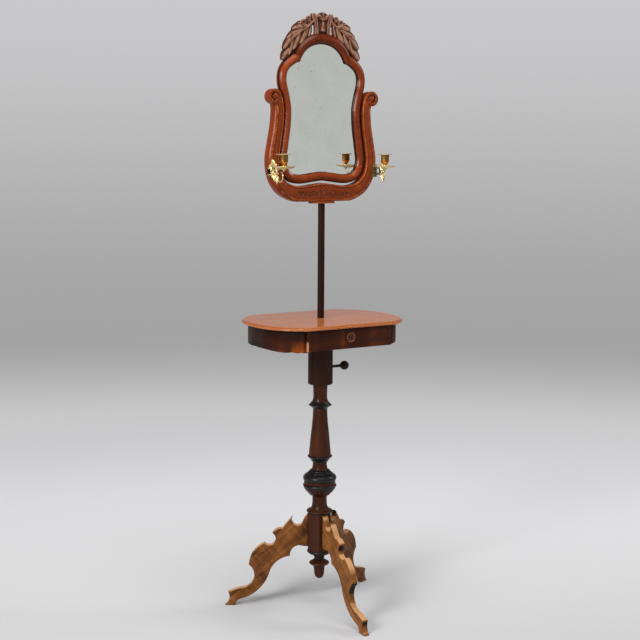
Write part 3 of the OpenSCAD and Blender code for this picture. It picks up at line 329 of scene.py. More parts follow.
def wood(name, dark, middle, light, pale=(110, 66, 42), dirt=(16, 9, 7), matt=(0.4, 0.55),
         coat=0.14, coat_matt=0.3, bands=0.7, rings=0.0, figure=0.1, pores=0.4, bump=0.15,
         coarse=1.0, along=None):
    """A finished wood: the timber group in its colours, pale and dark where the piece says so, from
    wear and grime and from painted highlight and shade. along names the grain's axis on a CAD node,
    which has no place in the grain of its own."""
    material, tree, shader = fresh(name)
    if along is None:
        place = add(tree, "Attribute", attribute_name="grain")["Vector"]
        worn, hollow, stain, shade = (add(tree, "Attribute", attribute_name=label)["Fac"]
                                      for label in ("worn", "hollow", "stain", "shade"))
    else:
        turns = {"x": (0, 0, 0), "y": (0, 0, math.pi / 2), "z": (0, math.pi / 2, 0)}
        place = add(tree, "Mapping", {"Vector": add(tree, "TexCoord")["Object"],
                                      "Rotation": turns[along]})[0]
        worn, hollow, stain, shade = 0.0, 0.0, 0.0, 0.0
    planed = add(tree, "Group", {
        "Grain": place, "Dark": ink(*dark), "Middle": ink(*middle), "Light": ink(*light),
        "Bands": bands, "Rings": rings, "Figure": figure, "Pores": pores, "Coarse": coarse,
        "Shade": shade}, node_tree=timber)
    used = add(tree, "Group", {
        "Color": planed["Color"], "Place": place, "Worn": worn, "Hollow": hollow, "Stain": stain,
        "Pale": ink(*pale), "Dirt": ink(*dirt)}, node_tree=wear_and_light)
    dull = ramp(tree, noise(tree, place, (14, 25, 25), 3), 0.3, 0.7, *matt)
    plug(tree, shader, {
        "Base Color": used["Color"], "Specular IOR Level": 0.05, "Coat Weight": coat,
        "Coat Roughness": coat_matt, "Roughness": sums(tree, (dull, 1.0), (used["Bare"], 0.2)),
        "Normal": relief(tree, planed["Height"], bump, 0.0004)})
    return material


def dress(piece, node, body, slot, *materials):
    """Gives a piece its materials, hides the CAD node it stands for and hangs it on its body. slot
    is not used.
    """
    for material in materials:
        piece.data.materials.append(material)
    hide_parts(node)
    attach(piece, body)


figured_birch = wood("figured_birch", (56, 29, 12), (110, 65, 28), (144, 92, 45), (190, 142, 98),
                     (34, 21, 17), (0.42, 0.6), 0.16, bands=1.1, rings=0.3, figure=0.7, pores=0.5)
# The front leg's wood is painted 0.22 lighter: painted light, for the left lamp falling on its
# face.
for name, heading, shade in (("leg_front", 267, 0.22), ("leg_left", 147, 0.0),
                             ("leg_right", 27, 0.0)):
    dress(leg("scene_" + name, heading, shade), name, "stand", "figured_birch", figured_birch)


# Pillar
# Turned pieces on one axis, from the drop under the six-sided block up to the neck under the
# sleeve. Stained mahogany, with rings stained black and polished to look like ebony. The black on
# the upper face of the drop's disc, under its neck, is painted shade.

def cubic(a, b, c, d, t):
    """The curve from b to c whose slopes follow a and d beside them:
    (2b + (c - a)t + (2a - 5b + 4c - d)t² + (3b - a - 3c + d)t³) / 2."""
    return 0.5 * (2 * b + (c - a) * t + (2 * a - 5 * b + 4 * c - d) * t ** 2
                  + (3 * b - a - 3 * c + d) * t ** 3)


def flow(profile, step=0.8):
    """A profile drawn as smooth curves through its points (radius, height), in steps of about step
    mm. A point with a third value is a corner, and so are the ends. Corners are eased over a
    step."""
    corners = [0] + [i for i, p in enumerate(profile[1:-1], 1) if len(p) > 2] + [len(profile) - 1]
    points = np.array([p[:2] for p in profile], float)
    parts = []
    for first, last in zip(corners, corners[1:]):
        run = points[first:last + 1]
        run = np.vstack([2 * run[:1] - run[1:2], run, 2 * run[-1:] - run[-2:-1]])
        for a, b, c, d in zip(run, run[1:], run[2:], run[3:]):
            t = np.linspace(0, 1, max(2, round(np.hypot(*(c - b)) / step) + 1))[:-1, None]
            parts.append(cubic(a, b, c, d, t))
    curve = np.vstack(parts + [points[-1:]])
    for _ in range(2):
        curve[1:-1] = 0.25 * curve[:-2] + 0.5 * curve[1:-1] + 0.25 * curve[2:]
    return curve


def spin(profile, seams, cut=None, ring=False, step=0.8):
    """A profile's curve, and its rings (r cos a, r sin a, z) about the axis. A ring's profile
    closes on itself. cut(r, z, a) gives the radius after carving."""
    curve = flow(profile + profile[:ring], step)[:-1 if ring else None]
    a = np.arange(seams) * 2 * math.pi / seams
    r, z = curve[:, :1] + 0 * a, curve[:, 1:]
    r = cut(r, z, a) if cut else r
    return curve, stack(r * np.cos(a), r * np.sin(a), z)


def turned(name, profile, height, ring=False, seams=112, cut=None, axis="z", black=(0, 0)):
    """A turned piece. Ends of steep steps are pale with wear and the quirks hollow, and the heights
    between the two of black are black: stained on most pieces, painted shade on the drop."""
    curve, rows = spin(profile, seams, cut, ring)
    wide = np.convolve(np.pad(curve[:, 0], 6, "edge"), np.ones(13) / 13, "valid")
    proud = (curve[:, 0] - wide)[:, None] / 2.2
    stain = 1.0 * (curve[:, 1:] > black[0]) * (curve[:, 1:] < black[1])
    points = rows + (0, 0, height)
    upright = points[..., [2, 0, 1]]
    return skin(name, upright if axis == "x" else points, loft(rows, ring),
                upright + (0, 0, 3 * height), np.clip(proud, 0, 1), np.clip(-proud, 0, 1),
                stain=stain)


dark_mahogany = wood("dark_mahogany", (31, 13, 6), (60, 27, 10), (90, 46, 19), (112, 66, 36),
                     (16, 9, 6), (0.35, 0.5), 0.22, 0.28, bands=0.75, figure=0.15, coarse=0.8)
ebonised = wood("ebonised_wood", (12, 12, 13), (19, 19, 20), (26, 26, 27), (50, 46, 44), (7, 7, 7),
                (0.4, 0.5), 0.55, 0.36, bands=0.4, pores=0.2, bump=0.04)
pillar = [
    ("drop_finial", dark_mahogany, 86, False, [
        (0, 0), (5.1, 0.5), (10.2, 4), (13.3, 10), (15, 18), (16.3, 30), (17, 38.7, 1), (21, 40.7),
        (26, 43.7), (30, 47.7), (29, 50.7), (21, 55.7), (14.5, 61.7), (15, 65), (18, 73, 1),
        (11, 73, 1), (11, 103, 1), (0, 103)]),
    ("base_ring", ebonised, 159, True, [
        (11.1, 0, 1), (18.5, 0, 1), (22.9, 1.6), (31.5, 5.6), (36, 9.6), (37, 12), (36.5, 14.7),
        (35, 16, 1), (11.1, 16, 1)]),
    ("block_ring", dark_mahogany, 290, True, [
        (15.1, 0, 1), (35.5, 0, 1), (37, 1.5), (38.5, 4), (38, 6.5), (35.5, 8.5), (28.5, 10, 1),
        (15.1, 10, 1)]),
    ("baluster", dark_mahogany, 300, False, [
        (0, -35), (15, -35, 1), (15, 0, 1), (28.5, 0, 1), (26.5, 3), (23.5, 9), (22.1, 18),
        (21.5, 34.5), (22.5, 41.4, 1), (28.5, 44.2), (36, 51.8), (42, 58.7), (46.5, 65.6),
        (48, 69, 1), (0, 69)]),
    ("bulb_lower_ring", ebonised, 369, True, [
        (15.1, 0, 1), (47.5, 0, 1), (49.2, 2.2), (50, 4.5), (49.2, 6.8), (47.5, 9, 1),
        (15.1, 9, 1)]),
    ("bulb_band", dark_mahogany, 378, True, [
        (15.1, 0, 1), (46.2, 0, 1), (46.8, 5), (46.2, 10, 1), (15.1, 10, 1)]),
    ("bulb_upper_ring", ebonised, 388, True, [
        (15.1, 0, 1), (46, 0, 1), (48.5, 2.5), (49.5, 8.4), (48.5, 13), (45.5, 16.8), (41.6, 19.5),
        (37.6, 21, 1), (15.1, 21, 1)]),
    ("neck_collar", dark_mahogany, 409, False, [
        (0, -54), (15, -54, 1), (15, 0, 1), (36, 0, 1), (36, 3), (34, 5), (30.5, 8), (30, 10, 1),
        (24.5, 13), (22.3, 18), (21, 27.8), (21.5, 37, 1), (0, 37)]),
    ("shaft_lower_ring", ebonised, 446, True, [
        (15.1, 0, 1), (24.5, 0, 1), (27.5, 5.4), (32.3, 10.8), (36.7, 15.5), (36.1, 16.9),
        (34.2, 18, 1), (15.1, 18, 1)]),
    ("column_shaft", dark_mahogany, 464, False, [
        (0, -32), (15, -32, 1), (15, 0, 1), (33, 0, 1), (27.9, 56.4), (22.8, 105.8), (20.8, 141, 1),
        (15, 141, 1), (15, 177, 1), (10.6, 177, 1), (10.6, 11, 1), (0, 11)]),
    ("shaft_upper_ring", ebonised, 605, True, [
        (15.1, 0, 1), (21.8, 0, 1), (23.3, 2.6), (28.2, 6.6), (34.4, 11, 1), (29.6, 15.8),
        (24.9, 20.9), (24.4, 22, 1), (15.1, 22, 1)]),
    ("top_neck", dark_mahogany, 627, True, [
        (15.1, 0, 1), (23.9, 0, 1), (22, 5), (20.8, 10), (20.4, 18), (20.8, 31.2), (21.8, 52, 1),
        (18, 52, 1), (18, 70, 1), (10.6, 70, 1), (10.6, 15, 1), (15.1, 15, 1)]),
]
# The drop's black lies on its disc's upper face under the neck: painted shade. The others are
# stained bands.
black_heights = {"neck_collar": (-0.1, 12.6), "block_ring": (-0.1, 6.2), "drop_finial": (57.5, 63),
             "baluster": (63, 68.9)}
for name, finish, height, ring, profile in pillar:
    piece = turned("scene_" + name, profile, height, ring, black=black_heights.get(name, (0, 0)))
    slot = "ebonised_wood" if finish is ebonised else "dark_mahogany"
    dress(piece, name, "stand", slot, finish)


# Block and sleeve
# The block is a sawn prism, the sleeve a bored cylinder and the mirror's rod a square stick. They
# keep their CAD shape, and take a wood a little darker than the turnings, with its grain upright.

def finish_nodes(material, *names):
    """Gives CAD nodes a material."""
    for name in names:
        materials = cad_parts[name].data.materials
        materials.clear()
        materials.append(material)


finish_nodes(wood("block_wood", (33, 15, 9), (60, 31, 19), (82, 47, 31), coarse=0.6, along="z"),
             "hex_block")
finish_nodes(wood("stained_wood", (26, 13, 8), (44, 23, 14), (66, 35, 22), coarse=0.6, along="z"),
             "sleeve")
finish_nodes(wood("rod_wood", (22, 9, 5), (40, 17, 9), (64, 28, 14), coat=0.1, bands=0.8, rings=0.1,
                  pores=0.5, along="z"), "mirror_rod")


# Clamping screw
# A turned ball on a wooden screw. Its thread, 4 mm to a turn, runs up to the ball's neck.

def thread(r, x, a):
    """The screw's radius less a ridge that climbs 4 mm in each turn, between its tip and its
    neck."""
    ridge = np.abs(((x / 4 - a / (2 * math.pi)) % 1) - 0.5) * 2
    part = ease((x - 13) / 4) * ease((62 - x) / 4) * (r > 4) * (r < 5)
    return r - 0.8 * ridge * part


ball_r, ball_x, clamp_z = 13.5, 84, 0.727
screw_profile = [(0, 11.2), (4.5, 11.2, 1), (4.5, 64), (5, 68), (7, 72.5, 1)]
screw_profile += [(ball_r * math.sin(t), ball_x - ball_r * math.cos(t))
                  for t in np.radians(np.linspace(42, 172, 14))] + [(0, ball_x + ball_r)]
screw = turned("scene_thumb_screw", screw_profile, 0, False, 64, thread, "x")
screw.data.transform(Matrix.Translation((0, 0, clamp_z)))
dress(screw, "thumb_screw", "thumb_screw", "stained_wood",
      wood("dark_screw_wood", (18, 9, 6), (34, 18, 12), (52, 28, 18), (80, 50, 34), (10, 6, 5),
           (0.35, 0.45), 0.25, 0.25))


# Table top
# A solid board with rounded ends, polished orange. Its edge is a thumb moulding with a quirk, its
# front steps 7 mm forward over the drawer, and a mortise under it takes the lock's bolt.

top_half, top_front, top_back, front_half, front_step, back_half = 235, 166, 162, 156, 173, 144
top_under, top_level, rod_hole, end_points = 865, 875, 8.5, 49


def top_ring(d, z):
    """The top's edge moved d inwards, at height z. The ends are superellipses |x/a|^n + |y/b|^n = 1
    with n = 2.7 in front and 2.2 behind, and the front steps forward. Two pairs of points stand
    beside the lock."""
    half, ends = top_half - d, []
    for sign, y, x, n in ((-1, top_front, front_half, 2.7), (1, top_back, back_half, 2.2)):
        deep = y / (1 - (x / top_half) ** n) ** (1 / n) - d
        a = np.linspace(0, math.asin(min(1, (y - d) / deep) ** (n / 2)), end_points)
        ends.append(stack(half * np.cos(a) ** (2 / n), sign * deep * np.sin(a) ** (2 / n)))
    step = [[front_half - d - 1.2, d - front_step], [front_half - d, d - front_step + 1.2]]
    lock = np.array([[10.5, -164], [10.6, -164]]) * (front_step - d) / 164
    half_ring = np.vstack([lock, step, ends[0][::-1], ends[1][1:]])
    ring = np.vstack([half_ring, half_ring[::-1] * (-1, 1)])
    return stack(ring[:, 0], ring[:, 1], z)


def square_ring(like, half, z):
    """A square round the axis, with a point in the direction of each point of another ring."""
    square = like[:, :2] / np.abs(like[:, :2]).max(1, keepdims=True) * half
    return stack(square[:, 0], square[:, 1], z)


edge = flow([(9, 865, 1), (3.2, 865), (0.6, 866.4), (0, 868.6), (0.7, 870.8), (2.6, 872, 1),
             (2.8, 872.8), (4.8, 873.4), (8.5, 875, 1), (14, 875)], 0.7)
top_rings = [top_ring(d, z) for d, z in edge]
top_rings += [square_ring(top_rings[-1], rod_hole, z) for z in (top_level, top_under)]
under, hole, mortise_front, mortise_back = top_ring(9, top_under), top_rings[-1], -142.5, -137.5
mortise = np.isin(np.arange(len(under)), (0, len(under) - 1))[:, None] * (0, 0, 6.0)
for y, raised in ((mortise_back + 0.1, 0), (mortise_back, 1), (mortise_front, 1),
                  (mortise_front - 0.1, 0)):
    share = (164 + y) / (164 - rod_hole)
    top_rings.append(under + (hole - under) * share + mortise * raised)
top_rings = np.array(top_rings)
# The thumb moulding's rounded edge is pale, from wear and a painted highlight, and its quirk
# darker.
edge_wear_and_highlight = np.interp(np.arange(len(top_rings)), [0, 4, 12, 20, len(edge) - 1], [0, 0.5, 0.9, 0.2, 0])
dent = np.interp(edge[:, 1] - edge[:, 0] * 0.01, [871.6, 872.4, 873.2], [0, 1, 0])
dent = np.concatenate([dent, np.zeros(len(top_rings) - len(dent))])
top = skin("scene_table_top", top_rings, loft(top_rings, True), top_rings, edge_wear_and_highlight[:, None] * 0.6,
           dent[:, None], 30)
dress(top, "table_top", "stand", "polished_mahogany",
      wood("polished_mahogany", (142, 76, 37), (165, 94, 49), (181, 114, 70), (214, 138, 84),
           (84, 40, 20), (0.4, 0.5), 0.6, 0.12, bands=0.5, rings=0.1, figure=0.15, pores=0.25,
           bump=0.02, coarse=0.4))


# Apron
# Boards bent round the table's ends, veneered with the figure upright. The veneer's lower edge is
# chipped and no longer straight.

def run_length(line):
    """How far along a line each of its points lies."""
    return np.concatenate([[0], np.cumsum(np.hypot(*np.diff(line, axis=0).T))])


apron_foot, drawer_end, back_seam = 806, 132.3, 104.1


def apron(name, s):
    """The end's superellipse, 18 mm inside the top's edge, from the drawer front to the seam at the
    back: a board of 16 mm carried along it. Its lower edge waves by a millimetre and, on the left,
    sinks by 4.6 mm towards the drawer, where a patch of the veneer is orange."""
    def run(d, front):
        ring = top_ring(d, 0)[4:3 + 2 * end_points, :2]
        ring = ring[(ring[:, 0] > back_seam + 0.2) & (ring[:, 1] > front + 5)]
        line = np.vstack([[drawer_end, front], [ring[0, 0] - 4.5, front], ring,
                          [back_seam, ring[-1, 1]]])
        far = run_length(line)
        return stack(*(np.interp(t * far[-1], far, line[:, k]) for k in (0, 1))), t * far[-1]

    t = np.linspace(0, 1, 180)
    (outer, along), (inner, _) = run(18, -150.8), run(34, -134.8)
    chip = 0.9 * np.sin(along / 17 + s) * np.sin(along / 41) + 0.5 * np.sin(along / 7.3)
    scallop = 0.65 * (1 + np.cos(2 * math.pi * along / 25)) * ease((72 - along) / 12) * (s < 0)
    hang = 4.6 * ease((170 - along) / 110) if s < 0 else 0.5
    foot = apron_foot - hang + scallop + np.maximum(0, chip) * (0.8 if s < 0 else 0.6)
    bottom = apron_foot - 0.8 * hang
    inwards = np.array([0, 0, 0.02, 0.06, 0.5, 1, 1])[:, None]
    line = outer[:, None] + (inner - outer)[:, None] * inwards
    z = stack(top_under, foot + 1.5, foot + 0.4, foot, bottom, bottom, top_under)
    grid = stack(s * line[..., 0], line[..., 1], z)
    patch = (0.7 * (s < 0) * np.exp(-((along - 30) / 24) ** 4) - 0.12
             + 0.28 * np.exp(-((along - 82) / 14) ** 2) - 0.25 * ease((along - 150) / 60))
    shade = patch[:, None] * (-0.2, 1.0, 1, 1, 0, 0, 0) - (0.2, 0, 0, 0, 0, 0, 0)
    return skin(name, grid, loft(grid), stack(z, along[:, None] + 300 * s, (0, 0, 0, 1, 2, 12, 12)),
                (0, 0.1, 0.5, 0.4, 0.1, 0, 0), (0.75, 0.1, 0, 0, 0.4, 0, 0), shade=shade)


flame_look = ((26, 11, 6), (60, 26, 11), (132, 62, 16), (176, 126, 84), (20, 9, 5), (0.35, 0.48))
flame_grain = {"bands": 0.55, "figure": 0.45, "pores": 0.3, "bump": 0.04, "coarse": 0.3}
flame = wood("flame_veneer", *flame_look, 0.13, 0.25, **flame_grain)
for name, s in (("apron_left", -1), ("apron_right", 1)):
    dress(apron("scene_" + name, s), name, "stand", "flame_veneer", flame)
finish_nodes(wood("flame_veneer_back", *flame_look, 0.2, 0.2, along="z", **flame_grain),
             "apron_back")


# Drawer front
# A veneered board that laps the opening, with a core that fits it. The veneer has gone from its
# left end, where the pale wood shows.

side_points_count, lock_z, front_y = 12, 838.0, -162


def box_ring(x, z0, z1, y):
    """A rectangle from -x to x and z0 to z1 at depth y, with as many points on every side."""
    t = np.linspace(0, 1, side_points_count, endpoint=False)[:, None]
    corners = np.array([[-x, z0], [x, z0], [x, z1], [-x, z1]], float)
    ring = np.vstack([a + (b - a) * t for a, b in zip(corners, np.roll(corners, -1, 0))])
    return stack(ring[:, 0], y, ring[:, 1])


def keyhole_ring(y):
    """A keyhole's outline at depth y, with a point for each point of a box ring: a round hole of
    2.6 mm over a slot 2.4 mm wide and 7 mm long."""
    a = np.radians(np.linspace(-62, 242, 3 * side_points_count))
    foot = stack(np.linspace(-1.2, 1.2, side_points_count), -7.0)
    ring = np.vstack([foot, 2.6 * stack(np.cos(a), np.sin(a))])
    return stack(ring[:, 0], y, ring[:, 1] + lock_z)


boxes = ((138.4, 807.6, 861.4, front_y), (139.5, 806.5, 862.5, -161.6), (140, 806, 863, -160.4),
         (140, 806, 863, -151), (130.5, 812.3, 863, -151), (130.5, 812.3, 863, -143))
front_rings = np.array([keyhole_ring(front_y), *(box_ring(*box) for box in boxes),
                        keyhole_ring(-143)])
worn = np.array([0, 0.05, 0.4, 0.3, 0.3, 0.2, 0, 0])[:, None]
worn = np.where(front_rings[..., 0] < -139, ease((842 - front_rings[..., 2]) / 14), worn)
drawer = skin("scene_drawer_front", front_rings, loft(front_rings, True),
              front_rings[..., [2, 0, 1]] + (0, 700, 0), worn, 0.0, 30)
dress(drawer, "drawer_front", "drawer", "flame_veneer", flame)


# Escutcheon
# A turned disc with a raised rim round the keyhole.

dish = flow([(14.5, 0, 1), (14.5, 2), (13.6, 3.6), (12, 4), (10.5, 3.4), (9.5, 2.2, 1), (5.8, 2.1),
             (4.4, 2.3, 1)], 0.4)
a = np.radians(np.concatenate([
    np.linspace(225, 315, side_points_count, endpoint=False),
    np.linspace(-45, 225, 3 * side_points_count, endpoint=False)]))
disc_rings = np.array(
    [stack(r * np.cos(a), front_y - h, lock_z + r * np.sin(a)) for r, h in dish]
    + [keyhole_ring(-164.3), keyhole_ring(front_y)])
rim = len(dish)
deep = np.interp(np.arange(rim + 2), [0, rim * 0.55, rim * 0.7, rim, rim + 1],
                 [0.3, 0, 0.9, 0.2, 1])
escutcheon = skin("scene_escutcheon", disc_rings, loft(disc_rings, True),
                  disc_rings[..., [2, 0, 1]], 0.4, deep[:, None])
dress(escutcheon, "escutcheon", "drawer", "dark_mahogany",
      wood("escutcheon_wood", (54, 24, 14), (98, 52, 32), (140, 84, 56), (168, 112, 80),
           (22, 10, 7), (0.3, 0.42), 0.3, 0.15, rings=0.4, figure=0.3))


# Drawer box, case and lock
# Pine inside, as planed, a lock and pivot pins of steel, and brass clips, screws, plates and hinge
# pins, gone dull. These keep their CAD shape.

planed = {"pale": (214, 184, 138), "dirt": (90, 64, 40), "matt": (0.6, 0.75), "coat": 0.0,
          "pores": 0.2}
finish_nodes(wood("pine_x", (120, 82, 46), (176, 136, 88), (206, 172, 122), bands=0.9, rings=0.9,
                  along="x", **planed), "case_floor", "top_bearer", "drawer_back", "drawer_bottom")
finish_nodes(wood("pine_y", (116, 78, 44), (170, 130, 84), (200, 166, 118), bands=0.9, rings=0.9,
                  along="y", **planed), "drawer_guides", "drawer_side_left", "drawer_side_right",
             "clamp_shoe")
finish_nodes(wood("old_pine", (112, 82, 50), (148, 114, 74), (172, 138, 94), bands=0.4, rings=0.25,
                  figure=0.05, along="z", **planed), "back_board")


def metal(name, colour, dull, matt, spots=0.4, spread=90, metallic=1.0):
    """Worked metal: its colour goes to the dull one in cloudy spots and in the hollows, where it is
    also rougher."""
    material, tree, shader = fresh(name)
    place = add(tree, "TexCoord")["Object"]
    cloud = noise(tree, place, (spread, spread, spread), 4, 0.3)
    hollow = add(tree, "Attribute", attribute_name="hollow")["Fac"]
    tarnish = sums(tree, (ramp(tree, cloud, 0.42, 0.75), spots), (hollow, 0.85))
    rough = ramp(tree, sums(tree, (cloud, 0.6), (hollow, 0.5)), 0.2, 0.8, *matt)
    plug(tree, shader, {
        "Base Color": mix(tree, calc(tree, "MINIMUM", tarnish, 1.0), ink(*colour), ink(*dull)),
        "Roughness": rough, "Metallic": metallic,
        "Normal": relief(tree, noise(tree, place, (1400, 1400, 1400), 2), 0.1, 0.0002)})
    return material


finish_nodes(metal("dull_brass", (120, 104, 64), (60, 52, 32), (0.4, 0.6), metallic=0.7),
             "back_clips", "wall_plate_left", "wall_plate_right", "plate_screws", "hinge_pins")
finish_nodes(metal("steel", (150, 148, 144), (92, 84, 76), (0.3, 0.5)), "lock_case", "lock_bolt",
             "pivot_pins")


# Mirror frame
# Four lengths of one rounded moulding, mitred where the arch springs from the shoulders. Polished
# mahogany over the whole round, darker in the quirk beside the glass.

def through(points, before, after, steps):
    """The smooth curve through points, given the ones before and after them."""
    chain = np.vstack([before, points, after])
    a, b, c, d = (chain[k:k + len(points) - 1, None] for k in range(4))
    curve = cubic(a, b, c, d, np.arange(steps)[:, None] / steps)
    return np.vstack([curve.reshape(-1, 2), points[-1:]])


def outward(edge):
    """The unit direction square to an edge, away from the glass."""
    run = np.vstack([edge[1:2] - edge[:1], edge[2:] - edge[:-2], edge[-1:] - edge[-2:-1]])
    return -left(unit(run))


waist, base, shoulder, cusp = 103, 118, 119, 75
drop, rise, spring, crown, wave = 167, 94, 141, 193, 8
flare, lift, arched = shoulder - cusp, spring - rise, crown - spring
pivot, fine, frame_width = 1467, 12, 26
side_points = np.array([
    [0, -drop], [0.30 * base, -drop - wave * 0.45], [0.62 * base, -drop - wave],
    [0.82 * base, -drop - wave * 0.6], [0.93 * base, -drop + 5], [0.985 * base, -drop + 20],
    [base, -drop + 38], [(waist + 2 * base) / 3, -drop * 0.56],
    [(5 * waist + base) / 6, -drop * 0.26], [waist, 0], [(9 * waist + shoulder) / 10, rise * 0.24],
    [(waist + shoulder) / 2, rise * 0.58], [(waist + 9 * shoulder) / 10, rise * 0.83],
    [shoulder, rise], [shoulder * 0.985, rise + lift * 0.30], [shoulder * 0.93, rise + lift * 0.56],
    [cusp + flare * 0.50, spring - lift * 0.2], [cusp + flare * 0.22, spring - lift * 0.05],
    [cusp, spring]])
arch_points = np.array([
    [cusp, spring], [cusp * 0.90, spring + arched * 0.30], [cusp * 0.74, spring + arched * 0.60],
    [cusp * 0.51, spring + arched * 0.84], [cusp * 0.25, spring + arched * 0.96], [0, crown]])
side_edge = through(side_points, side_points[1:2] * (-1, 1),
                    2 * side_points[-1:] - side_points[-2:-1], fine)
arch_edge = through(arch_points, 2 * arch_points[:1] - arch_points[1:2],
                    arch_points[-2:-1] * (-1, 1), fine)
side_out, arch_out = outward(side_edge), outward(arch_edge)
mitre = (side_out[-1] + arch_out[0]) / (1 + side_out[-1] @ arch_out[0])
side_i, arch_i, reach = np.arange(len(side_edge))[:, None], np.arange(len(arch_edge))[:, None], 28
w = ease((side_i - len(side_edge) + 1 + reach) / reach)
side_out = side_out * (1 - w) + mitre * w
side_out[0] = (0, -1)
w = ease(1 - arch_i / (2 * fine))
arch_out = arch_out * (1 - w) + mitre * w
arch_out[-1] = (0, 1)
side_outer = side_edge + side_out * frame_width
arch_outer = arch_edge + arch_out * (frame_width + 5 * ease(arch_i / (len(arch_edge) - 1)))


def both(curve):
    """A curve from the middle to the right, joined to its mirror on the left."""
    return np.vstack([curve[:0:-1] * (-1, 1), curve])


def carried(inner, outer, share, offset, depth):
    """Rings carried along two paired edges, and their places in the wood. A point lies at its share
    of the way from the inner to the outer edge, offset further, and so deep."""
    across = outer - inner
    width = np.linalg.norm(across, axis=1)[:, None]
    flat = inner[:, None] + across[:, None] * share[:, None]
    flat = flat + unit(across)[:, None] * offset[..., None]
    rows = stack(flat[..., 0], depth, flat[..., 1] + pivot)
    return rows, stack(run_length(inner)[:, None], width * share + offset, depth)


glossy = wood("glossy_mahogany", (76, 25, 7), (122, 49, 13), (168, 82, 28), (206, 120, 64),
              (34, 12, 5), (0.3, 0.4), 0.26, 0.2, bands=0.65, rings=0.1, figure=0.25, pores=0.25,
              bump=0.03, coarse=0.7)
s = np.linspace(0, 1, 33)
bow = np.sin(math.pi * s)
section = np.vstack([stack(s, 0 * s, -1 - 12 * bow ** 0.75),
                     [[1, 0, 10.2], [1, -0.8, 11], [0, 8, 11], [0, 8, 2], [0, 0, 2]]])
face_worn = np.concatenate([np.clip(bow * 1.2 - 0.6, 0, 1) * 0.1, [0.3, 0.4, 0, 0, 0]])
face_hollow = np.concatenate([np.clip(1 - 9 * np.minimum(s, 1 - s), 0, 1), [0.2, 0.2, 0.5, 1, 1]])
joint, over = 5 * fine, (-1, 1)
# The arch runs 0.3 and the right length 0.2 darker: painted shade that holds down the light and
# sheen falling on them.
frame_runs = (
    ("frame_base", both(side_edge[:joint + 1]), both(side_outer[:joint + 1]), 0.0),
    ("frame_right", side_edge[joint:], side_outer[joint:], -0.2),
    ("frame_left", side_edge[joint:] * over, side_outer[joint:] * over, 0.0),
    ("frame_arch", both(arch_edge[::-1]) * over, both(arch_outer[::-1]) * over, -0.3),
)
for name, inner, outer, shade in frame_runs:
    rows, grain = carried(inner, outer, *section.T)
    piece = skin("scene_" + name, rows, loft(rows), grain, face_worn, face_hollow, shade=shade)
    dress(piece, name, "mirror", "glossy_mahogany", glossy)


# Glass
# Old silvered glass: slightly green, with foxing that has dulled small spots of the silver.

def old_mirror():
    """Silvered glass: a metal in the glass's tint, spotted where a noise of the place is high."""
    material, tree, shader = fresh("mirror_glass")
    place = add(tree, "TexCoord")["Object"]
    spots = ramp(tree, noise(tree, place, (220, 220, 220), 4, 0.5), 0.64, 0.74)
    cloud = ramp(tree, noise(tree, place, (18, 18, 18), 3), 0.3, 0.75)
    tint = mix(tree, cloud, ink(226, 228, 224), ink(218, 221, 216))
    plug(tree, shader, {
        "Base Color": mix(tree, spots, tint, ink(176, 180, 170)), "Metallic": 1.0,
        "Roughness": sums(tree, (cloud, 0.03), (spots, 0.16)),
        "Normal": relief(tree, noise(tree, place, (26, 26, 26), 2), 0.02, 0.0006)})
    return material


finish_nodes(old_mirror(), "mirror_glass")


# Yoke
# A rail with a shallow carved vine and two arms that end in scrolls. A bead runs along the outer
# edge, set off by a quirk, and the face is gently rounded.

rail_at, arm_at, yoke_foot = 40, 120, -252
i = np.arange(arm_at + 1)[:, None] / 4
yoke_gap = frame_width + 6.5 - 3.5 * ease((i - 10) / 8)
yoke_width = np.where(i <= 15, 53 - 17 * ease(i / 15), 36 - 5 * ease((i - 15) / 14))
yoke_inner = side_edge[:arm_at + 1] + side_out[:arm_at + 1] * yoke_gap
yoke_outer = side_edge[:arm_at + 1] + side_out[:arm_at + 1] * (yoke_gap + yoke_width)
yoke_outer[:, 1] = np.where(i[:, 0] < 6, yoke_foot, np.maximum(yoke_outer[:, 1], yoke_foot))
scroll_r, scroll_at = 21.5, np.array([163.0, 43.0])
horn = scroll_at + scroll_r * np.array([[-1.26, -0.35], [-1.08, 0.15], [-0.85, 0.52], [-0.42, 0.9]])
inner_end = through(np.vstack([yoke_inner[-1:], horn]), yoke_inner[-3:-2], horn[-1:] + (12, 3),
                    6)[1:]
tongue = scroll_at + scroll_r * np.array([[0.05, -0.93], [0, -0.2], [0.1, 0.2], [0.1, 0.4]])
outer_end = through(np.vstack([yoke_outer[-1:], tongue]), yoke_outer[-3:-2], [scroll_at + (3, 12)],
                    6)[1:]
lip, bead_width, strip = 8.4, 11, np.linspace(0, 1, 29)


def bead_share(step):
    """How much of its full width the bead has, so many steps from the rail's middle."""
    return 0.35 + 0.65 * ease((step - 3) / 9)


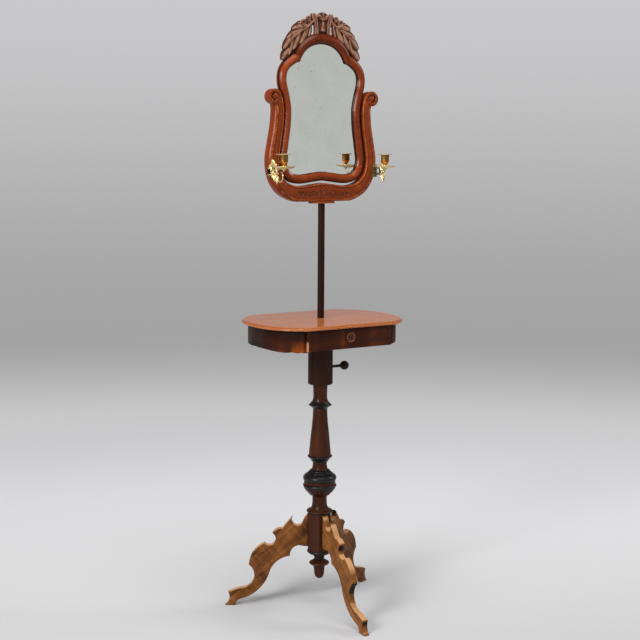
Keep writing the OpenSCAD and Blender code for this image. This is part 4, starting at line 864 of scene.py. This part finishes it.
def yoke_rings(inner, outer, wide, split, sharp, sunk=0.0):
    """Rows of closed rings along two paired edges: a lip 5 mm wide at the inner edge, a cove, a
    face that rises by 1.1·sin(πt)^0.6, a quirk that is as deep as sharp says, and a quarter of an
    ellipse, 11·wide mm across, down into the outer side. A groove of depth split runs in the face
    at t = 0.45, and the face lies deeper by sunk. Returns the rows, their grain, worn and
    hollow."""
    t, bead, zero = strip, bead_width * wide, 0 * wide
    sharp = zero + sharp
    q = np.linspace(0, math.pi / 2, 7)
    share = np.concatenate([0 * q, [0, 0], t, [1, 1], 0 * q + 1, [1, 1], [0]])
    offset = np.hstack([
        zero + 4.0 * (1 - np.cos(q)), zero + 5.4, zero + 7.2, lip - (lip + bead + 2.6) * t,
        -bead - 1.4, -bead - 0.5, -bead + bead * np.sin(q), zero, zero - 0.8, zero])
    groove = split * np.exp(-((t - 0.45) / 0.055) ** 2)
    depth = np.hstack([
        zero - 8.6 - 5.4 * np.sin(q), zero - 12.8, zero - 12.3,
        -12.9 - 1.2 * np.sin(math.pi * t).clip(0) ** 0.6 + groove + sunk,
        -13.4 + 0.9 * sharp, -13.8 - 1.2 * sharp,
        -14.2 - 2.0 * sharp + (bead + 2.2 * sharp) * (1 - np.cos(q)), zero + 12.7, zero + 13.5,
        zero + 13.5])
    worn = np.concatenate([0.15 + 0.35 * np.sin(q), [0.1, 0], 0.12 + 0 * t, [0, 0.2],
                           0.5 * np.cos(q), [0, 0, 0]])
    hollow = zero + np.concatenate([0.1 + 0 * q, [0.45, 0.3], ease((t - 0.93) / 0.07) * 0.5,
                                    [0.8, 0.3], 0 * q, [0, 0.2, 0.3]])
    face, quirk = slice(9, 38), slice(35, 40)
    hollow[:, quirk] *= sharp
    hollow[:, face] += 0.5 * groove
    return *carried(inner, outer, share, offset, depth), worn, hollow


def volute(centre, r_out, front, back):
    """The scroll's round head. A groove winds in clockwise from the notch under the head, its
    radius 10.2 + 11.3·exp(-w/80) after w degrees. The band outside it, the strand inside it and the
    button in the eye are rounded, and the head sinks to the arm's face where the arm joins. Returns
    its rows, their grain, worn and hollow."""
    eye = 10.2
    r = np.concatenate([[0], np.linspace(0.5, r_out - 0.7, 44),
                        r_out - np.array([0.2, 0, 0, 0.8, 2.5, 5])])[:, None]
    a = np.arange(120) * 2 * math.pi / 120
    groove = eye + (r_out - eye) * np.exp(-((260 - np.degrees(a)) % 360) / 80)
    share = np.clip((r - groove) / np.maximum(r_out - groove, 1.5), 0, 1)
    band = (np.sin(math.pi * (0.12 + 0.76 * share)) ** 0.7 * (r > groove)
            * np.clip((r - groove) / 1.5, 0, 1) ** 0.5)
    share = np.clip((r - eye) / np.maximum(groove - eye, 0.6), 0, 1)
    strand = (np.sin(math.pi * share) ** 0.5 * np.clip((groove - eye) / 5, 0, 1) * (r < groove)
              * (r > eye))
    button = np.sqrt(np.clip(1 - (r / 8.8) ** 2, 0, 1)) ** 0.8
    height = np.maximum(np.maximum(band, strand), button)
    joined = ease(1 - np.abs((np.degrees(a) - 25) % 360 - 180) / 62) * ease((r - 6) / 9)
    depth = front + 4.6 * (1 - height) + 2.6 * joined
    depth[-5] = front + 3.4 + 2.0 * joined[-5]
    depth[-4:] = np.array([back - 5, back - 2.2, back - 0.6, back])[:, None]
    rows = stack(centre[0] + r * np.cos(a), depth, centre[1] + r * np.sin(a) + pivot)
    hollow = np.clip(1.15 - height * 1.5, 0, 1)
    hollow[-6:] = 0
    return rows, rows[..., [2, 0, 1]] - (1200, 0, 0), 0.35 * (1 - hollow), hollow


def skin_over(name, parts, crease=42, side=1):
    """One piece of several closed grids, each part its rows, grain, worn and hollow. Side -1
    mirrors it to the left."""
    faces, held, count = [], [], 0
    for rows, grain, worn, hollow in parts:
        faces += loft(rows, start=count)
        count += rows.shape[0] * rows.shape[1]
        columns = stack(*np.moveaxis(rows, -1, 0), *np.moveaxis(grain, -1, 0), worn, hollow)
        held.append(columns.reshape(-1, 8))
    held = np.vstack(held)
    return skin(name, held[:, :3] * (side, 1, 1), faces, held[:, 3:6], *held.T[6:], crease)


def yoke_arm(name, s):
    """The arm's moulding run on into the horn, and the volute over its end."""
    inner = np.vstack([yoke_inner[rail_at:], inner_end])
    outer = np.vstack([yoke_outer[rail_at:], outer_end])
    step = np.arange(len(inner))[:, None] / 4
    last = step[-1]
    wide = bead_share(step + 10) * (1 - 0.7 * ease((step - 19) / (last - 19)))
    split = 1.5 * ease((step - 13) / 6) * ease((last - 2.5 - step) / 2)
    moulding = yoke_rings(inner, outer, wide, split, 0.55 if s < 0 else 0.12)
    return skin_over(name, [moulding, volute(scroll_at, scroll_r, -17, 13.2)], side=s)


def vine():
    """The lines of the carved vine, in mm from the rail's middle: a waving stem, a curl at each
    wave and short leaves, drawn for the right half and mirrored."""
    x = np.linspace(0, 84, 100)
    lines = [stack(x, 6.2 * np.cos(x * math.pi / 19) * np.clip((92 - x) / 30, 0, 1) ** 0.4 - 0.5)]
    for cx, cz, r0, start in ((19, 1.5, 5.4, -90), (38, -2.5, 5.4, 90), (57, 1.5, 5.2, -90),
                              (76, -2.0, 4.4, 90)):
        t = np.linspace(0, 1, 34)
        a, r = np.radians(start + (430 if start < 0 else -430) * t), r0 - (r0 - 1.6) * t
        lines.append(stack(cx + r * np.cos(a), cz + r * np.sin(a)))
    for x0, z0, x1, z1 in ((8, 2, 12, 9), (9, -2, 5, -9), (28, 1, 31, 9), (29, -3, 25, -9),
                           (47, 1, 50, 8), (48, -3, 45, -9), (66, 1, 69, 7), (67, -3, 64, -8),
                           (84, 0, 87, 3)):
        t = np.linspace(0, 1, 14)
        lines.append(stack(x0 + (x1 - x0) * t + 1.4 * np.sin(math.pi * t), z0 + (z1 - z0) * t))
    return lines + [line * (-1, 1) for line in lines]


def carved_panel():
    """The rail's face between -88 and 88, as a fine grid laid over it. Round each line of the vine
    it sinks by 1.3·exp(-(d/1.2)²) at distance d and swells beside it. The edges are buried in the
    face. Returns its rows, their grain, worn and hollow."""
    far, tall = 88, 13
    x, v = np.meshgrid(np.linspace(-far, far, 353), np.linspace(-tall, tall, 53), indexing="ij")
    edge_x = both(yoke_inner[:rail_at + 1])
    top = np.interp(x, edge_x[:, 0], edge_x[:, 1])
    width = top - yoke_foot
    step = np.interp(np.abs(x), yoke_inner[:rail_at + 1, 0], np.arange(rail_at + 1) / 4)
    z = top - width * 0.5 - 1.5 + v
    t = np.clip((top - z - lip) / (width - 11 - bead_width * bead_share(step)), 0, 1)
    distance = np.full(x.shape, 9.0)
    for line in vine():
        near = np.hypot(x[..., None] - line[:, 0], v[..., None] - line[:, 1]).min(-1)
        distance = np.minimum(distance, near)
    cut, swell = np.exp(-(distance / 1.2) ** 2), np.exp(-((distance - 2.5) / 0.8) ** 2)
    feather = np.clip(np.minimum((far - np.abs(x)) / 3, (tall - np.abs(v)) / 2.5), 0, 1)
    depth = -12.9 - 1.2 * np.sin(math.pi * t).clip(0) ** 0.6 + 0.6 - 0.72 * ease(feather)
    rows = stack(x, depth + (1.3 * cut - 0.3 * swell) * feather, z + pivot)
    back = rows[:, ::-4] * (1, 0, 1) - (0, 10, 0)
    rows = np.hstack([rows, back])
    none = np.zeros(back.shape[:2])
    return (rows, rows[..., [0, 2, 1]] + (90, -1210, 0), np.hstack([swell * feather * 0.25, none]),
            np.hstack([0.7 * cut * feather, none]))


for name, s in (("yoke_arm_right", 1), ("yoke_arm_left", -1)):
    dress(yoke_arm("scene_" + name, s), name, "rod", "glossy_mahogany", glossy)
rail_inner, rail_outer = both(yoke_inner[:rail_at + 1]), both(yoke_outer[:rail_at + 1])
rail_i = np.arange(2 * rail_at + 1)[:, None]
wide = bead_share(np.abs(rail_i - rail_at) / 4)
tall = np.linalg.norm(rail_outer - rail_inner, axis=1)[:, None]
from_middle = tall / 2 - 6.9 - (tall - 11 - bead_width * wide) * strip
sunk = 2.2 * ease((85 - np.abs(rail_inner[:, :1])) / 2) * ease((10.8 - np.abs(from_middle)) / 1.2)
sharp = np.interp(rail_i, [0, 8, 2 * rail_at], [0.55, 0.12, 0.12])
rail = skin_over("scene_yoke_rail", [
    yoke_rings(rail_inner, rail_outer, wide, 0 * wide, sharp, sunk), carved_panel()], 60)
dress(rail, "yoke_rail", "rod", "glossy_mahogany", glossy)
finish_nodes(wood("plate_wood", (64, 26, 11), (122, 56, 26), (160, 86, 44), (176, 108, 68),
                  (30, 12, 8), (0.35, 0.5), 0.2, 0.2, bands=0.8, rings=0.5, figure=0.3,
                  along="x"), "yoke_plate")


# Crest
# Carved from one board of walnut: a spray of overlapping leaves on each side, two flared ribs, and
# a shell over a bell-flower in the middle. It is oiled, not polished. Its raised parts are pale
# with wear and painted highlight, and its hollows dark with dust and painted shade; the dark discs
# in the curls' eyes and under the shell and the dark ground behind the leaves are painted shade.

def blade(spine, half, front, flutes=1.5, thick=8.0, curl=0.0):
    """A carved blade: half wide on each side of its spine, its face 5.5 mm high along the middle,
    with lengthwise flutes cos(2π·flutes·v) at v from -1 to 1 across, turned over where flutes is
    negative, so that the middle is hollow. It comes forward by curl towards its tip, where it turns
    over. No two blades' backs share a plane. Returns closed rings and how deep each point lies."""
    u, v = np.linspace(0, 1, len(spine))[:, None], np.linspace(-1, 1, 25)
    side = left(unit(np.gradient(spine, axis=0)))
    dome = np.sqrt(np.clip(1 - v ** 2, 0, 1)) + 0 * u
    ridges = 0.5 + 0.5 * math.copysign(1, flutes) * np.cos(2 * math.pi * flutes * v)
    height = 0.66 * dome + 0.34 * ridges * dome ** 0.5
    face = front + 5.5 * (1 - height) - curl * u ** 2 + 4.5 * np.clip((u - 0.86) / 0.14, 0, 1) ** 2
    xz = spine[:, None] + side[:, None] * (half[:, None] * v)[..., None]
    top = stack(xz[..., 0], face, xz[..., 1])
    under = top[:, ::-1][:, 4:-4:4].copy()
    apart = 0.4 * abs(math.sin(spine[0].sum() + 7 * spine[-1].sum()))
    under[..., 1] = np.minimum(front + thick, 10.3) - apart
    deep = np.clip(1.2 - height * 1.5, 0, 1)
    return np.hstack([top, under]), np.hstack([deep, 0 * deep[:, :under.shape[1]] + 0.4])


def leaf(root, tip, width, bend, front, blunt=0.6, thick=8.0, curl=0.0, flutes=0.8):
    """A blade whose spine is the curve root to tip bowed sideways by bend, and whose half width is
    (w/2)·sin(π(0.14 + 0.86u)^1.2)^blunt."""
    root, tip = np.asarray(root, float), np.asarray(tip, float)
    u = np.linspace(0, 1, 33)[:, None]
    middle = (root + tip) / 2 + left(tip - root) * bend
    spine = root * (1 - u) ** 2 + 2 * middle * u * (1 - u) + tip * u ** 2
    half = width / 2 * np.sin(math.pi * (0.14 + 0.86 * u[:, 0]) ** 1.2).clip(0) ** blunt
    return blade(spine, np.maximum(half, 0.12), front, flutes, thick, curl)


def tube(path, radius, flat=1.0, front=0.0):
    """Rings round a path in the upright plane at depth front: at each point a circle of its radius,
    squashed from front to back by flat."""
    path = np.asarray(path, float)
    side = left(unit(np.gradient(path, axis=0)))
    a = np.arange(14) * 2 * math.pi / 14
    radius = np.broadcast_to(radius, len(path))[:, None]
    xz = path[:, None] + side[:, None] * (radius * np.cos(a))[..., None]
    return stack(xz[..., 0], front + radius * np.sin(a) * flat, xz[..., 1])


def curl_path(centre, r0, r1, a0, a1, steps=40):
    """A spiral from radius r0 at angle a0 to r1 at a1."""
    t = np.linspace(0, 1, steps)
    a, r = np.radians(a0 + (a1 - a0) * t), r0 + (r1 - r0) * t
    return stack(centre[0] + r * np.cos(a), centre[1] + r * np.sin(a))


def knob(centre, radius, front):
    """A raised round bead: radius·sin a across and front - radius·cos a deep, on a foot in the
    ground."""
    a, b = np.radians(np.linspace(0, 90, 7)), np.arange(20) * 2 * math.pi / 20
    across = np.append(radius * np.sin(a), radius)[:, None]
    depth = np.append(front - radius * np.cos(a), 6.0)[:, None]
    return stack(centre[0] + across * np.cos(b), depth, centre[1] + across * np.sin(b))


sprig = [
    leaf((28, 256), (117, 182), 30, 0.13, 0.3, 0.45, 9, 1.0, 0.5),
    leaf((46, 243), (95, 235), 26, 0.13, -3.6, 0.38, 11, 2.4),
    leaf((62, 235), (111, 209), 22, 0.13, -2.6, 0.45, 10, 2.2),
    leaf((76, 227), (122, 180), 25, 0.12, -2.0, 0.42, 9, 2.2),
    leaf((95, 187), (126, 150), 29, 0.06, -0.8, 0.5, 9, 1.8),
    leaf((38, 247), (45, 211), 15, -0.12, -2.4, 0.5, 10, 0.6),
    leaf((48, 244), (71, 193), 29, -0.10, -3.4, 0.45, 10, 0.8),
    leaf((72, 230), (92, 177), 26, -0.08, -2.8, 0.45, 10, 0.8),
    leaf((93, 208), (105, 163), 19, -0.06, -2.2, 0.5, 10, 0.6),
    leaf((60, 246), (80, 251), 15, 0.20, -1.6, 0.45, 9, 1.2),
]
smooth, dust_and_shade = 0.12, 1.0
# Behind each curl a dark disc fills its eye: painted shade.
for centre, r0, r1, start, radius in (((44, 264), 7.4, 1.8, -120, 3.7),
                                      ((59, 253), 9.6, 2.4, -100, 4.4)):
    path = curl_path(centre, r0, r1, start, start + 500)
    sprig.append((tube(path, np.linspace(radius, 1.6, len(path)), 1.1, -0.6), smooth))
    sprig.append((knob(centre, radius * 1.7, radius * 1.7), dust_and_shade))
stem = through(np.array([[29, 257], [51, 238.5], [78, 222.5], [104, 199], [118, 182]]), [[20, 266]],
               [[124, 172]], 9)
sprig.append((tube(stem, np.linspace(2.6, 1.4, len(stem)), 1.1, -3.4), smooth))
# A ground from the arch's edge to the leaves' ridge, dark at its front: painted shade between the
# leaves.
beside = arch_outer[:, 0] > 37
foot = arch_outer[beside] - arch_out[beside] * 1.5
ridge = through(np.array([[118, 182], [104, 199], [78, 222.5], [51, 238.5], [38, 247]]),
                [[124, 172]], [[30, 252]], 9)
spread = np.linspace(0, len(ridge) - 1, len(foot))
ridge = stack(*(np.interp(spread, np.arange(len(ridge)), ridge[:, k]) for k in (0, 1)))
ground = np.stack([stack(line[:, 0], y, line[:, 1])
                   for line, y in ((foot, 3.0), (ridge, 3.0), (ridge, 10.4), (foot, 10.4))], 1)
sprig.append((ground, (0.9, 0.9, 0.4, 0.4)))
rib = through(np.array([[20, 219], [19.6, 232], [20.4, 246], [23, 259], [27.5, 269], [33, 277]]),
              [[20, 210]], [[38, 283]], 6)
rib_half = np.interp(np.linspace(0, 1, len(rib)), [0, 0.25, 0.5, 0.75, 0.9, 1],
                     [7.2, 6.6, 7.4, 9.4, 8.0, 2.4])
sprig.append(blade(rib, rib_half, -4.0, -0.6, 12, 1.5))
carved = []
for rows, deep in sprig:
    lean = np.abs(rows[..., :1] - 20) * (rows[..., :1] > 36) * (0, 0, 0.055)
    carved += [(rows, deep), (rows * (-1.06, 1, 1) - lean, deep)]

shell_r, shell_z = 18.0, 263.5
a = np.radians(np.linspace(-14, 194, 91))
r = np.array([0, 3, 6, 9, 12, 14.5, 16.3, 17.4, shell_r])[:, None]
flute = np.cos((a - math.pi / 2) * 6) + 0 * r
rayed = r * (1 + 0.025 * flute * (r / shell_r) ** 2)
face = -1.2 - 4.2 * (r / shell_r) ** 0.6 - 1.4 * flute * (r / shell_r) + 6 * (r > 17.7)
fan = stack(rayed * np.cos(a), face, shell_z + rayed * np.sin(a))
fan = np.concatenate([fan, fan[-1:] * (1, 0, 1) + (0, 9, 0)])
carved.append((fan, np.clip(0.3 - 0.45 * np.vstack([flute, flute[-1:]]), 0, 1)))
under_shell = stack(np.linspace(-15, 15, 30), 265.5 - 4.2 * np.cos(np.linspace(-1.5, 1.5, 30)))
thickness = 2.3 * np.cos(np.linspace(-1.3, 1.3, 30)) ** 0.5
carved.append((tube(under_shell, thickness, 1.1, -4.8), smooth))
# Under the shell a dark disc, painted shade, with a small knob on it.
carved += [(knob((0, 258.5), 6.5, 5.0), dust_and_shade), (knob((0, 258.5), 2.6, -2.2), 0.1)]
bell = through(np.array([[0, 255], [0, 247], [0, 238], [0, 227]]), [[0, 262]], [[0, 219]], 10)
bell_half = np.interp(np.linspace(0, 1, len(bell)), [0, 0.12, 0.4, 0.7, 0.9, 1],
                      [2.0, 5.0, 6.6, 9.0, 11.5, 12.5])
carved.append(blade(bell, bell_half, -4.8, 0.5, 12, 0.5))
clapper = [[0, 254.0], [0, 248], [0, 241], [0, 234], [0, 227]]
carved.append((tube(clapper, np.array([1.4, 2.2, 2.2, 2.0, 1.6]), 1.0, -6.0), smooth))
carved += [(knob((x, 226), 4.2, -1.6), dust_and_shade) for x in (-7, 7)]
board = ((-1, 221), (1, 221), (0.86, 240), (1.05, 268), (-1.05, 268), (-0.86, 240))
carved.append((np.array([[[20 * x, y, z] for x, z in board] for y in (-0.8, 10)]), 0.4))
walnut = wood("carved_walnut", (52, 25, 14), (92, 50, 32), (118, 72, 50), (176, 134, 110),
              (26, 12, 8), (0.42, 0.55), 0.26, rings=0.1, figure=0.2, pores=0.5)
# Raised parts go pale, from wear and painted highlight, and deep parts dark, from dust and painted
# shade.
crest_parts = []
for rows, deep in carved:
    rows, deep = rows + (0, 0, pivot), np.asarray(deep)
    crest_parts.append((rows, rows[..., [2, 0, 1]], np.clip(1.1 - 2.2 * deep, 0, 1) * 0.66, deep))
dress(skin_over("scene_crest", crest_parts), "crest", "mirror", "carved_walnut", walnut)


# Candle arms
# Cast brass brackets in openwork scrolls, each turning on an upright pin, with a pressed pan and a
# fluted cup. The brass is bright and pale, dulled in cloudy spots and in the cup's flutes.

hinge_x, hinge_y, hinge_z, arm_reach = 189.0, -24.2, 1302.0, 86.0
arm_headings = {-1: -91, 1: -116}


def at_hinge(rows, s):
    """Rows of points with x from the hinge to the cup, turned about the hinge to where the arm
    stands."""
    x, y = turn(rows[..., 0], rows[..., 1], arm_headings[s])
    return stack(s * hinge_x + x, hinge_y + y, rows[..., 2])


def bracket():
    """The bracket's scrolls, tapered round bars, its leaves, and the block at its hinge. Places
    along the arm are given as shares of its reach."""
    out = np.array([arm_reach, 1])
    parts = []
    for centre, r0, r1, a0, a1, steps, bar in (
            ((0.185, 8), 13, 11, 95, 265, 40, (1.5, 2.2, 1.8)),
            ((0.40, 1), 12, 10, 130, 400, 40, (1.5, 2.3)),
            ((0.25, -4), 7, 2.5, -40, 400, 40, (2.2, 1.3)),
            ((0.62, -1), 8, 4, 60, 330, 40, (1.8, 1.3)),
            ((0.76, -12.5), 15, 15, 62, -176, 56, (1.3, 2.0))):
        thick = np.interp(np.linspace(0, 1, steps), np.linspace(0, 1, len(bar)), bar)
        parts.append(tube(curl_path(out * centre, r0, r1, a0, a1, steps), thick))
    for z, bent, thick in ((8, -0.2, 2.4), (-5, 0.2, 2.2)):
        stub = [[2.0, z], [5, z], [8, z + 3 * bent], [11, z + 10 * bent]]
        parts.append(tube(stub, thick - np.array([0, 0, 0.2, 0.4])))
    path = out * [[0.22, 30.0], [0.36, 21], [0.50, 14.5], [0.70, 10.2], [0.86, 8.4], [1, 8.4]]
    path = through(path, path[:1] - (5, -8), path[-1:] + (6, 0), 8)
    parts.append(tube(path, np.linspace(2.6, 1.9, len(path))))
    for x0, z0, x1, z1, width, bend in (
            (0.18, 12, 0.23, 34, 10, 0.1), (0.42, 12, 0.27, 33, 8, 0.12),
            (0.14, 2, 0.05, 20, 8, -0.15), (0.10, 4, 0.07, -12, 8, 0.1),
            (0.30, -6, 0.36, -27, 9, 0.1), (0.46, -8, 0.53, -33, 9, 0.08),
            (0.40, -4, 0.64, -18, 8, -0.1), (0.50, 10, 0.44, 22, 7, 0.1),
            (0.34, 4, 0.56, 8, 9, 0.1), (0.20, -6, 0.26, -20, 7, 0.1)):
        rows, deep = leaf(out * (x0, z0), out * (x1, z1), width * 0.8, bend, -2.2, 0.6, 4.4)
        rows[..., 1] = np.clip(rows[..., 1] * (1 - 0.6 * deep * (rows[..., 1] < 0)), -2.2, 2.2)
        parts.append(rows)
    corners = ((-2.6, -5.4), (2.6, -5.4), (2.6, 5.4), (-2.6, 5.4))
    parts.append(np.array([[[x, y, z] for y, z in corners] for x in (3.4, 10.5)]))
    return [rows + (0, 0, hinge_z) for rows in parts]


def fluted(r, z, a):
    """24 flutes in the cup's straight part, half a millimetre deep."""
    part = ease((z - 1331) / 2) * ease((1349 - z) / 2) * (r > 10.6) * (r < 12)
    return r - 0.5 * part * (0.5 + 0.5 * np.cos(24 * a))


brass = metal("polished_brass", (222, 200, 142), (140, 112, 62), (0.28, 0.44), 0.45, 140, 0.62)
cup_brass = metal("cup_brass", (186, 120, 42), (112, 84, 44), (0.3, 0.45), 0.3)
# A near-black finish for the block and knuckle at each hinge.
hinge_black = metal("hinge_black", (26, 22, 16), (14, 12, 9), (0.5, 0.6))
outboard = (arm_reach, 0, 0)
knuckle = [(0, hinge_z - 5.7), (4.2, hinge_z - 5.7, 1), (4.2, hinge_z + 5.7, 1), (0, hinge_z + 5.7)]
pin = [(0, 1304), (2.5, 1304, 1), (3.2, 1306.5), (6, 1308.5), (6, 1312, 1), (0, 1312)]
bars = bracket() + [spin(knuckle, 40, step=0.5)[1], spin(pin, 40, step=0.5)[1] + outboard]
pan_rows = outboard + spin([
    (2.7, 1311.4, 1), (12, 1311.2), (20, 1312.2), (26.5, 1314.2), (30.4, 1316.4), (31, 1317.4),
    (30.2, 1317.9), (28.5, 1317.2), (21, 1314.4), (12, 1313.2), (2.7, 1313.2, 1)],
    96, None, True, 0.5)[1]
cup_rows = outboard + spin([
    (0, 1306.2), (2.5, 1306.2, 1), (2.5, 1313.2, 1), (7.4, 1313.2, 1), (7.4, 1315), (4.6, 1316.6),
    (5.2, 1318.0), (4.6, 1319.6), (7.6, 1323.6), (10.4, 1328.2), (11.6, 1330.0, 1), (11.3, 1340),
    (11.6, 1348.6, 1), (16, 1348.8), (20.4, 1349.6), (21.4, 1350.6), (20.6, 1351.4), (18.5, 1350.9),
    (11.5, 1350.5), (9.8, 1349.9, 1), (9.8, 1330.7, 1), (0, 1330.7)], 96, fluted, step=0.5)[1]
tarnished = ease((cup_rows[..., 2] - 1329) / 2) * ease(1348.5 - cup_rows[..., 2])
for side, s in (("left", -1), ("right", 1)):
    stands = [at_hinge(rows, s) for rows in bars]
    arm = skin_over("scene_candle_arm_" + side, [(rows, rows, 0.0, 0.0) for rows in stands])
    points = at_hinge(pan_rows, s)
    pan = skin("scene_drip_pan_" + side, points, loft(points, True), points)
    points = at_hinge(cup_rows, s)
    cup = skin("scene_candle_cup_" + side, points, loft(points), points, 0.0, tarnished)
    for piece, node, *looks in ((arm, "candle_arm_", brass, hinge_black),
                                (pan, "drip_pan_", brass), (cup, "candle_cup_", cup_brass, brass)):
        dress(piece, node + side, side + "_candle_arm", "polished_brass", *looks)
    low = np.array([min(cup.data.vertices[v].co.z for v in face.vertices)
                    for face in cup.data.polygons])
    cup.data.polygons.foreach_set("material_index", ((low > 1.3485) | (low < 1.3185)).astype(int))
    centres = np.array([face.center for face in arm.data.polygons]) * 1000
    near = np.hypot(centres[:, 0] - s * hinge_x, centres[:, 1] - hinge_y) < 11
    near &= np.abs(centres[:, 2] - hinge_z) < 7
    arm.data.polygons.foreach_set("material_index", near.astype(int))


# Floor, light and camera
# A pale studio floor that fades into the backdrop, soft lamps above and to both sides, and a weak
# even light. The camera stands 3.8 m away, 32 degrees left of the front, at the mirror's foot.

def studio_floor():
    """A round floor, lightest behind the object and fading out at its edge."""
    r = np.concatenate([[0], np.linspace(300, 6000, 40)])[:, None]
    a = np.arange(96) * 2 * math.pi / 96
    points = stack(r * np.cos(a), r * np.sin(a), 0.0)
    floor = skin("studio_floor", points, quads(len(r), len(a)), points)
    material, tree, shader = fresh("studio_floor")
    place = add(tree, "TexCoord")["Object"]
    distance = add(tree, "VectorMath", {0: place}, operation="LENGTH")["Value"]
    behind = add(tree, "VectorMath", {0: place, 1: (0.53, 0.85, 0)},
                 operation="DOT_PRODUCT")["Value"]
    shade = mix(tree, ramp(tree, behind, -1.5, 1.5), ink(172, 172, 172), ink(222, 222, 223))
    plug(tree, shader, {"Base Color": shade, "Roughness": 0.7, "Specular IOR Level": 0.3})
    faded = add(tree, "MixShader", {0: ramp(tree, distance, 2.1, 3.4), 1: shader.outputs[0],
                                    2: add(tree, "BsdfTransparent")[0]})
    plug(tree, tree.nodes["Material Output"], {"Surface": faded[0]})
    floor.data.materials.append(material)


def studio_world():
    """Even pale light. The camera sees the backdrop: a wall that darkens downwards to the foot of
    the sweep. Gloss and glass see a dim room with a pale wall, at their own height, in front of the
    object."""
    world = bpy.data.worlds.new("studio")
    bpy.context.scene.world = world
    world.use_nodes = True
    tree = world.node_tree
    split = add(tree, "SeparateXYZ", {0: add(tree, "TexCoord")["Generated"]})
    height = split[2]
    low = mix(tree, ramp(tree, height, -0.226, -0.145), ink(209, 209, 210), ink(164, 163, 163))
    wall = mix(tree, ramp(tree, height, -0.15, 0.12), low, ink(201, 201, 203))
    front = calc(tree, "MULTIPLY", ramp(tree, split[1], 0.1, -0.35), ramp(tree, height, -0.5, -0.2))
    front = calc(tree, "MULTIPLY", front, ramp(tree, height, 0.35, 0.1))
    behind = calc(tree, "MULTIPLY", ramp(tree, split[1], 0.3, 0.7), ramp(tree, height, 0.45, 0.15))
    room = mix(tree, front, (0.12, 0.12, 0.12, 1), (0.62, 0.625, 0.615, 1))
    room = mix(tree, behind, room, (0.45, 0.45, 0.46, 1))
    path = add(tree, "LightPath")
    light = mix(tree, path["Is Glossy Ray"], (0.42, 0.42, 0.43, 1), room)
    seen = mix(tree, path["Is Camera Ray"], light, wall)
    plug(tree, tree.nodes["Background"], {"Color": seen, "Strength": 1.0})


def stood(name, data, right, up, back, place):
    """A lamp or camera at a place, its own axes along three directions."""
    piece = bpy.data.objects.new(name, data)
    bpy.context.scene.collection.objects.link(piece)
    columns = np.column_stack([right, up, back, place])
    piece.matrix_world = Matrix(np.vstack([columns, (0, 0, 0, 1)]).tolist())
    return piece


def lamp(name, place, aim, size, power):
    """A square soft lamp."""
    light = bpy.data.lights.new(name, "AREA")
    light.shape, light.size, light.energy = "SQUARE", size, power
    back = unit(np.array(place) - aim)
    right = unit(np.cross((0, 1, 0.01), back))
    stood(name, light, right, np.cross(back, right), back, place)


studio_floor()
studio_world()
lamp("overhead_softbox", (-0.4, -0.9, 4.3), (0, 0, 1.0), 2.4, 92)
lamp("left_softbox", (-3.4, -1.4, 2.3), (0, 0, 1.1), 1.3, 115)
lamp("right_softbox", (3.4, -1.2, 3.0), (0, 0, 1.1), 1.2, 45)

heading, pitch, roll, distance, eye_height = math.radians(32), math.radians(7.7), 0.36, 3.8, 1.382
ahead = np.array([math.sin(heading) * math.cos(pitch), math.cos(heading) * math.cos(pitch),
                  -math.sin(pitch)])
right = np.array([math.cos(heading), -math.sin(heading), 0.0])
up, right = turn(np.cross(right, ahead), right, roll)
eye = (-distance * math.sin(heading), -distance * math.cos(heading), eye_height)
view = bpy.data.cameras.new("photograph")
view.sensor_width, view.lens, view.shift_x = 36.0, 1310 / 640 * 36, -0.7 / 640
bpy.context.scene.camera = stood("photograph", view, right, up, -ahead, eye)
bpy.context.scene.view_settings.view_transform = "Standard"
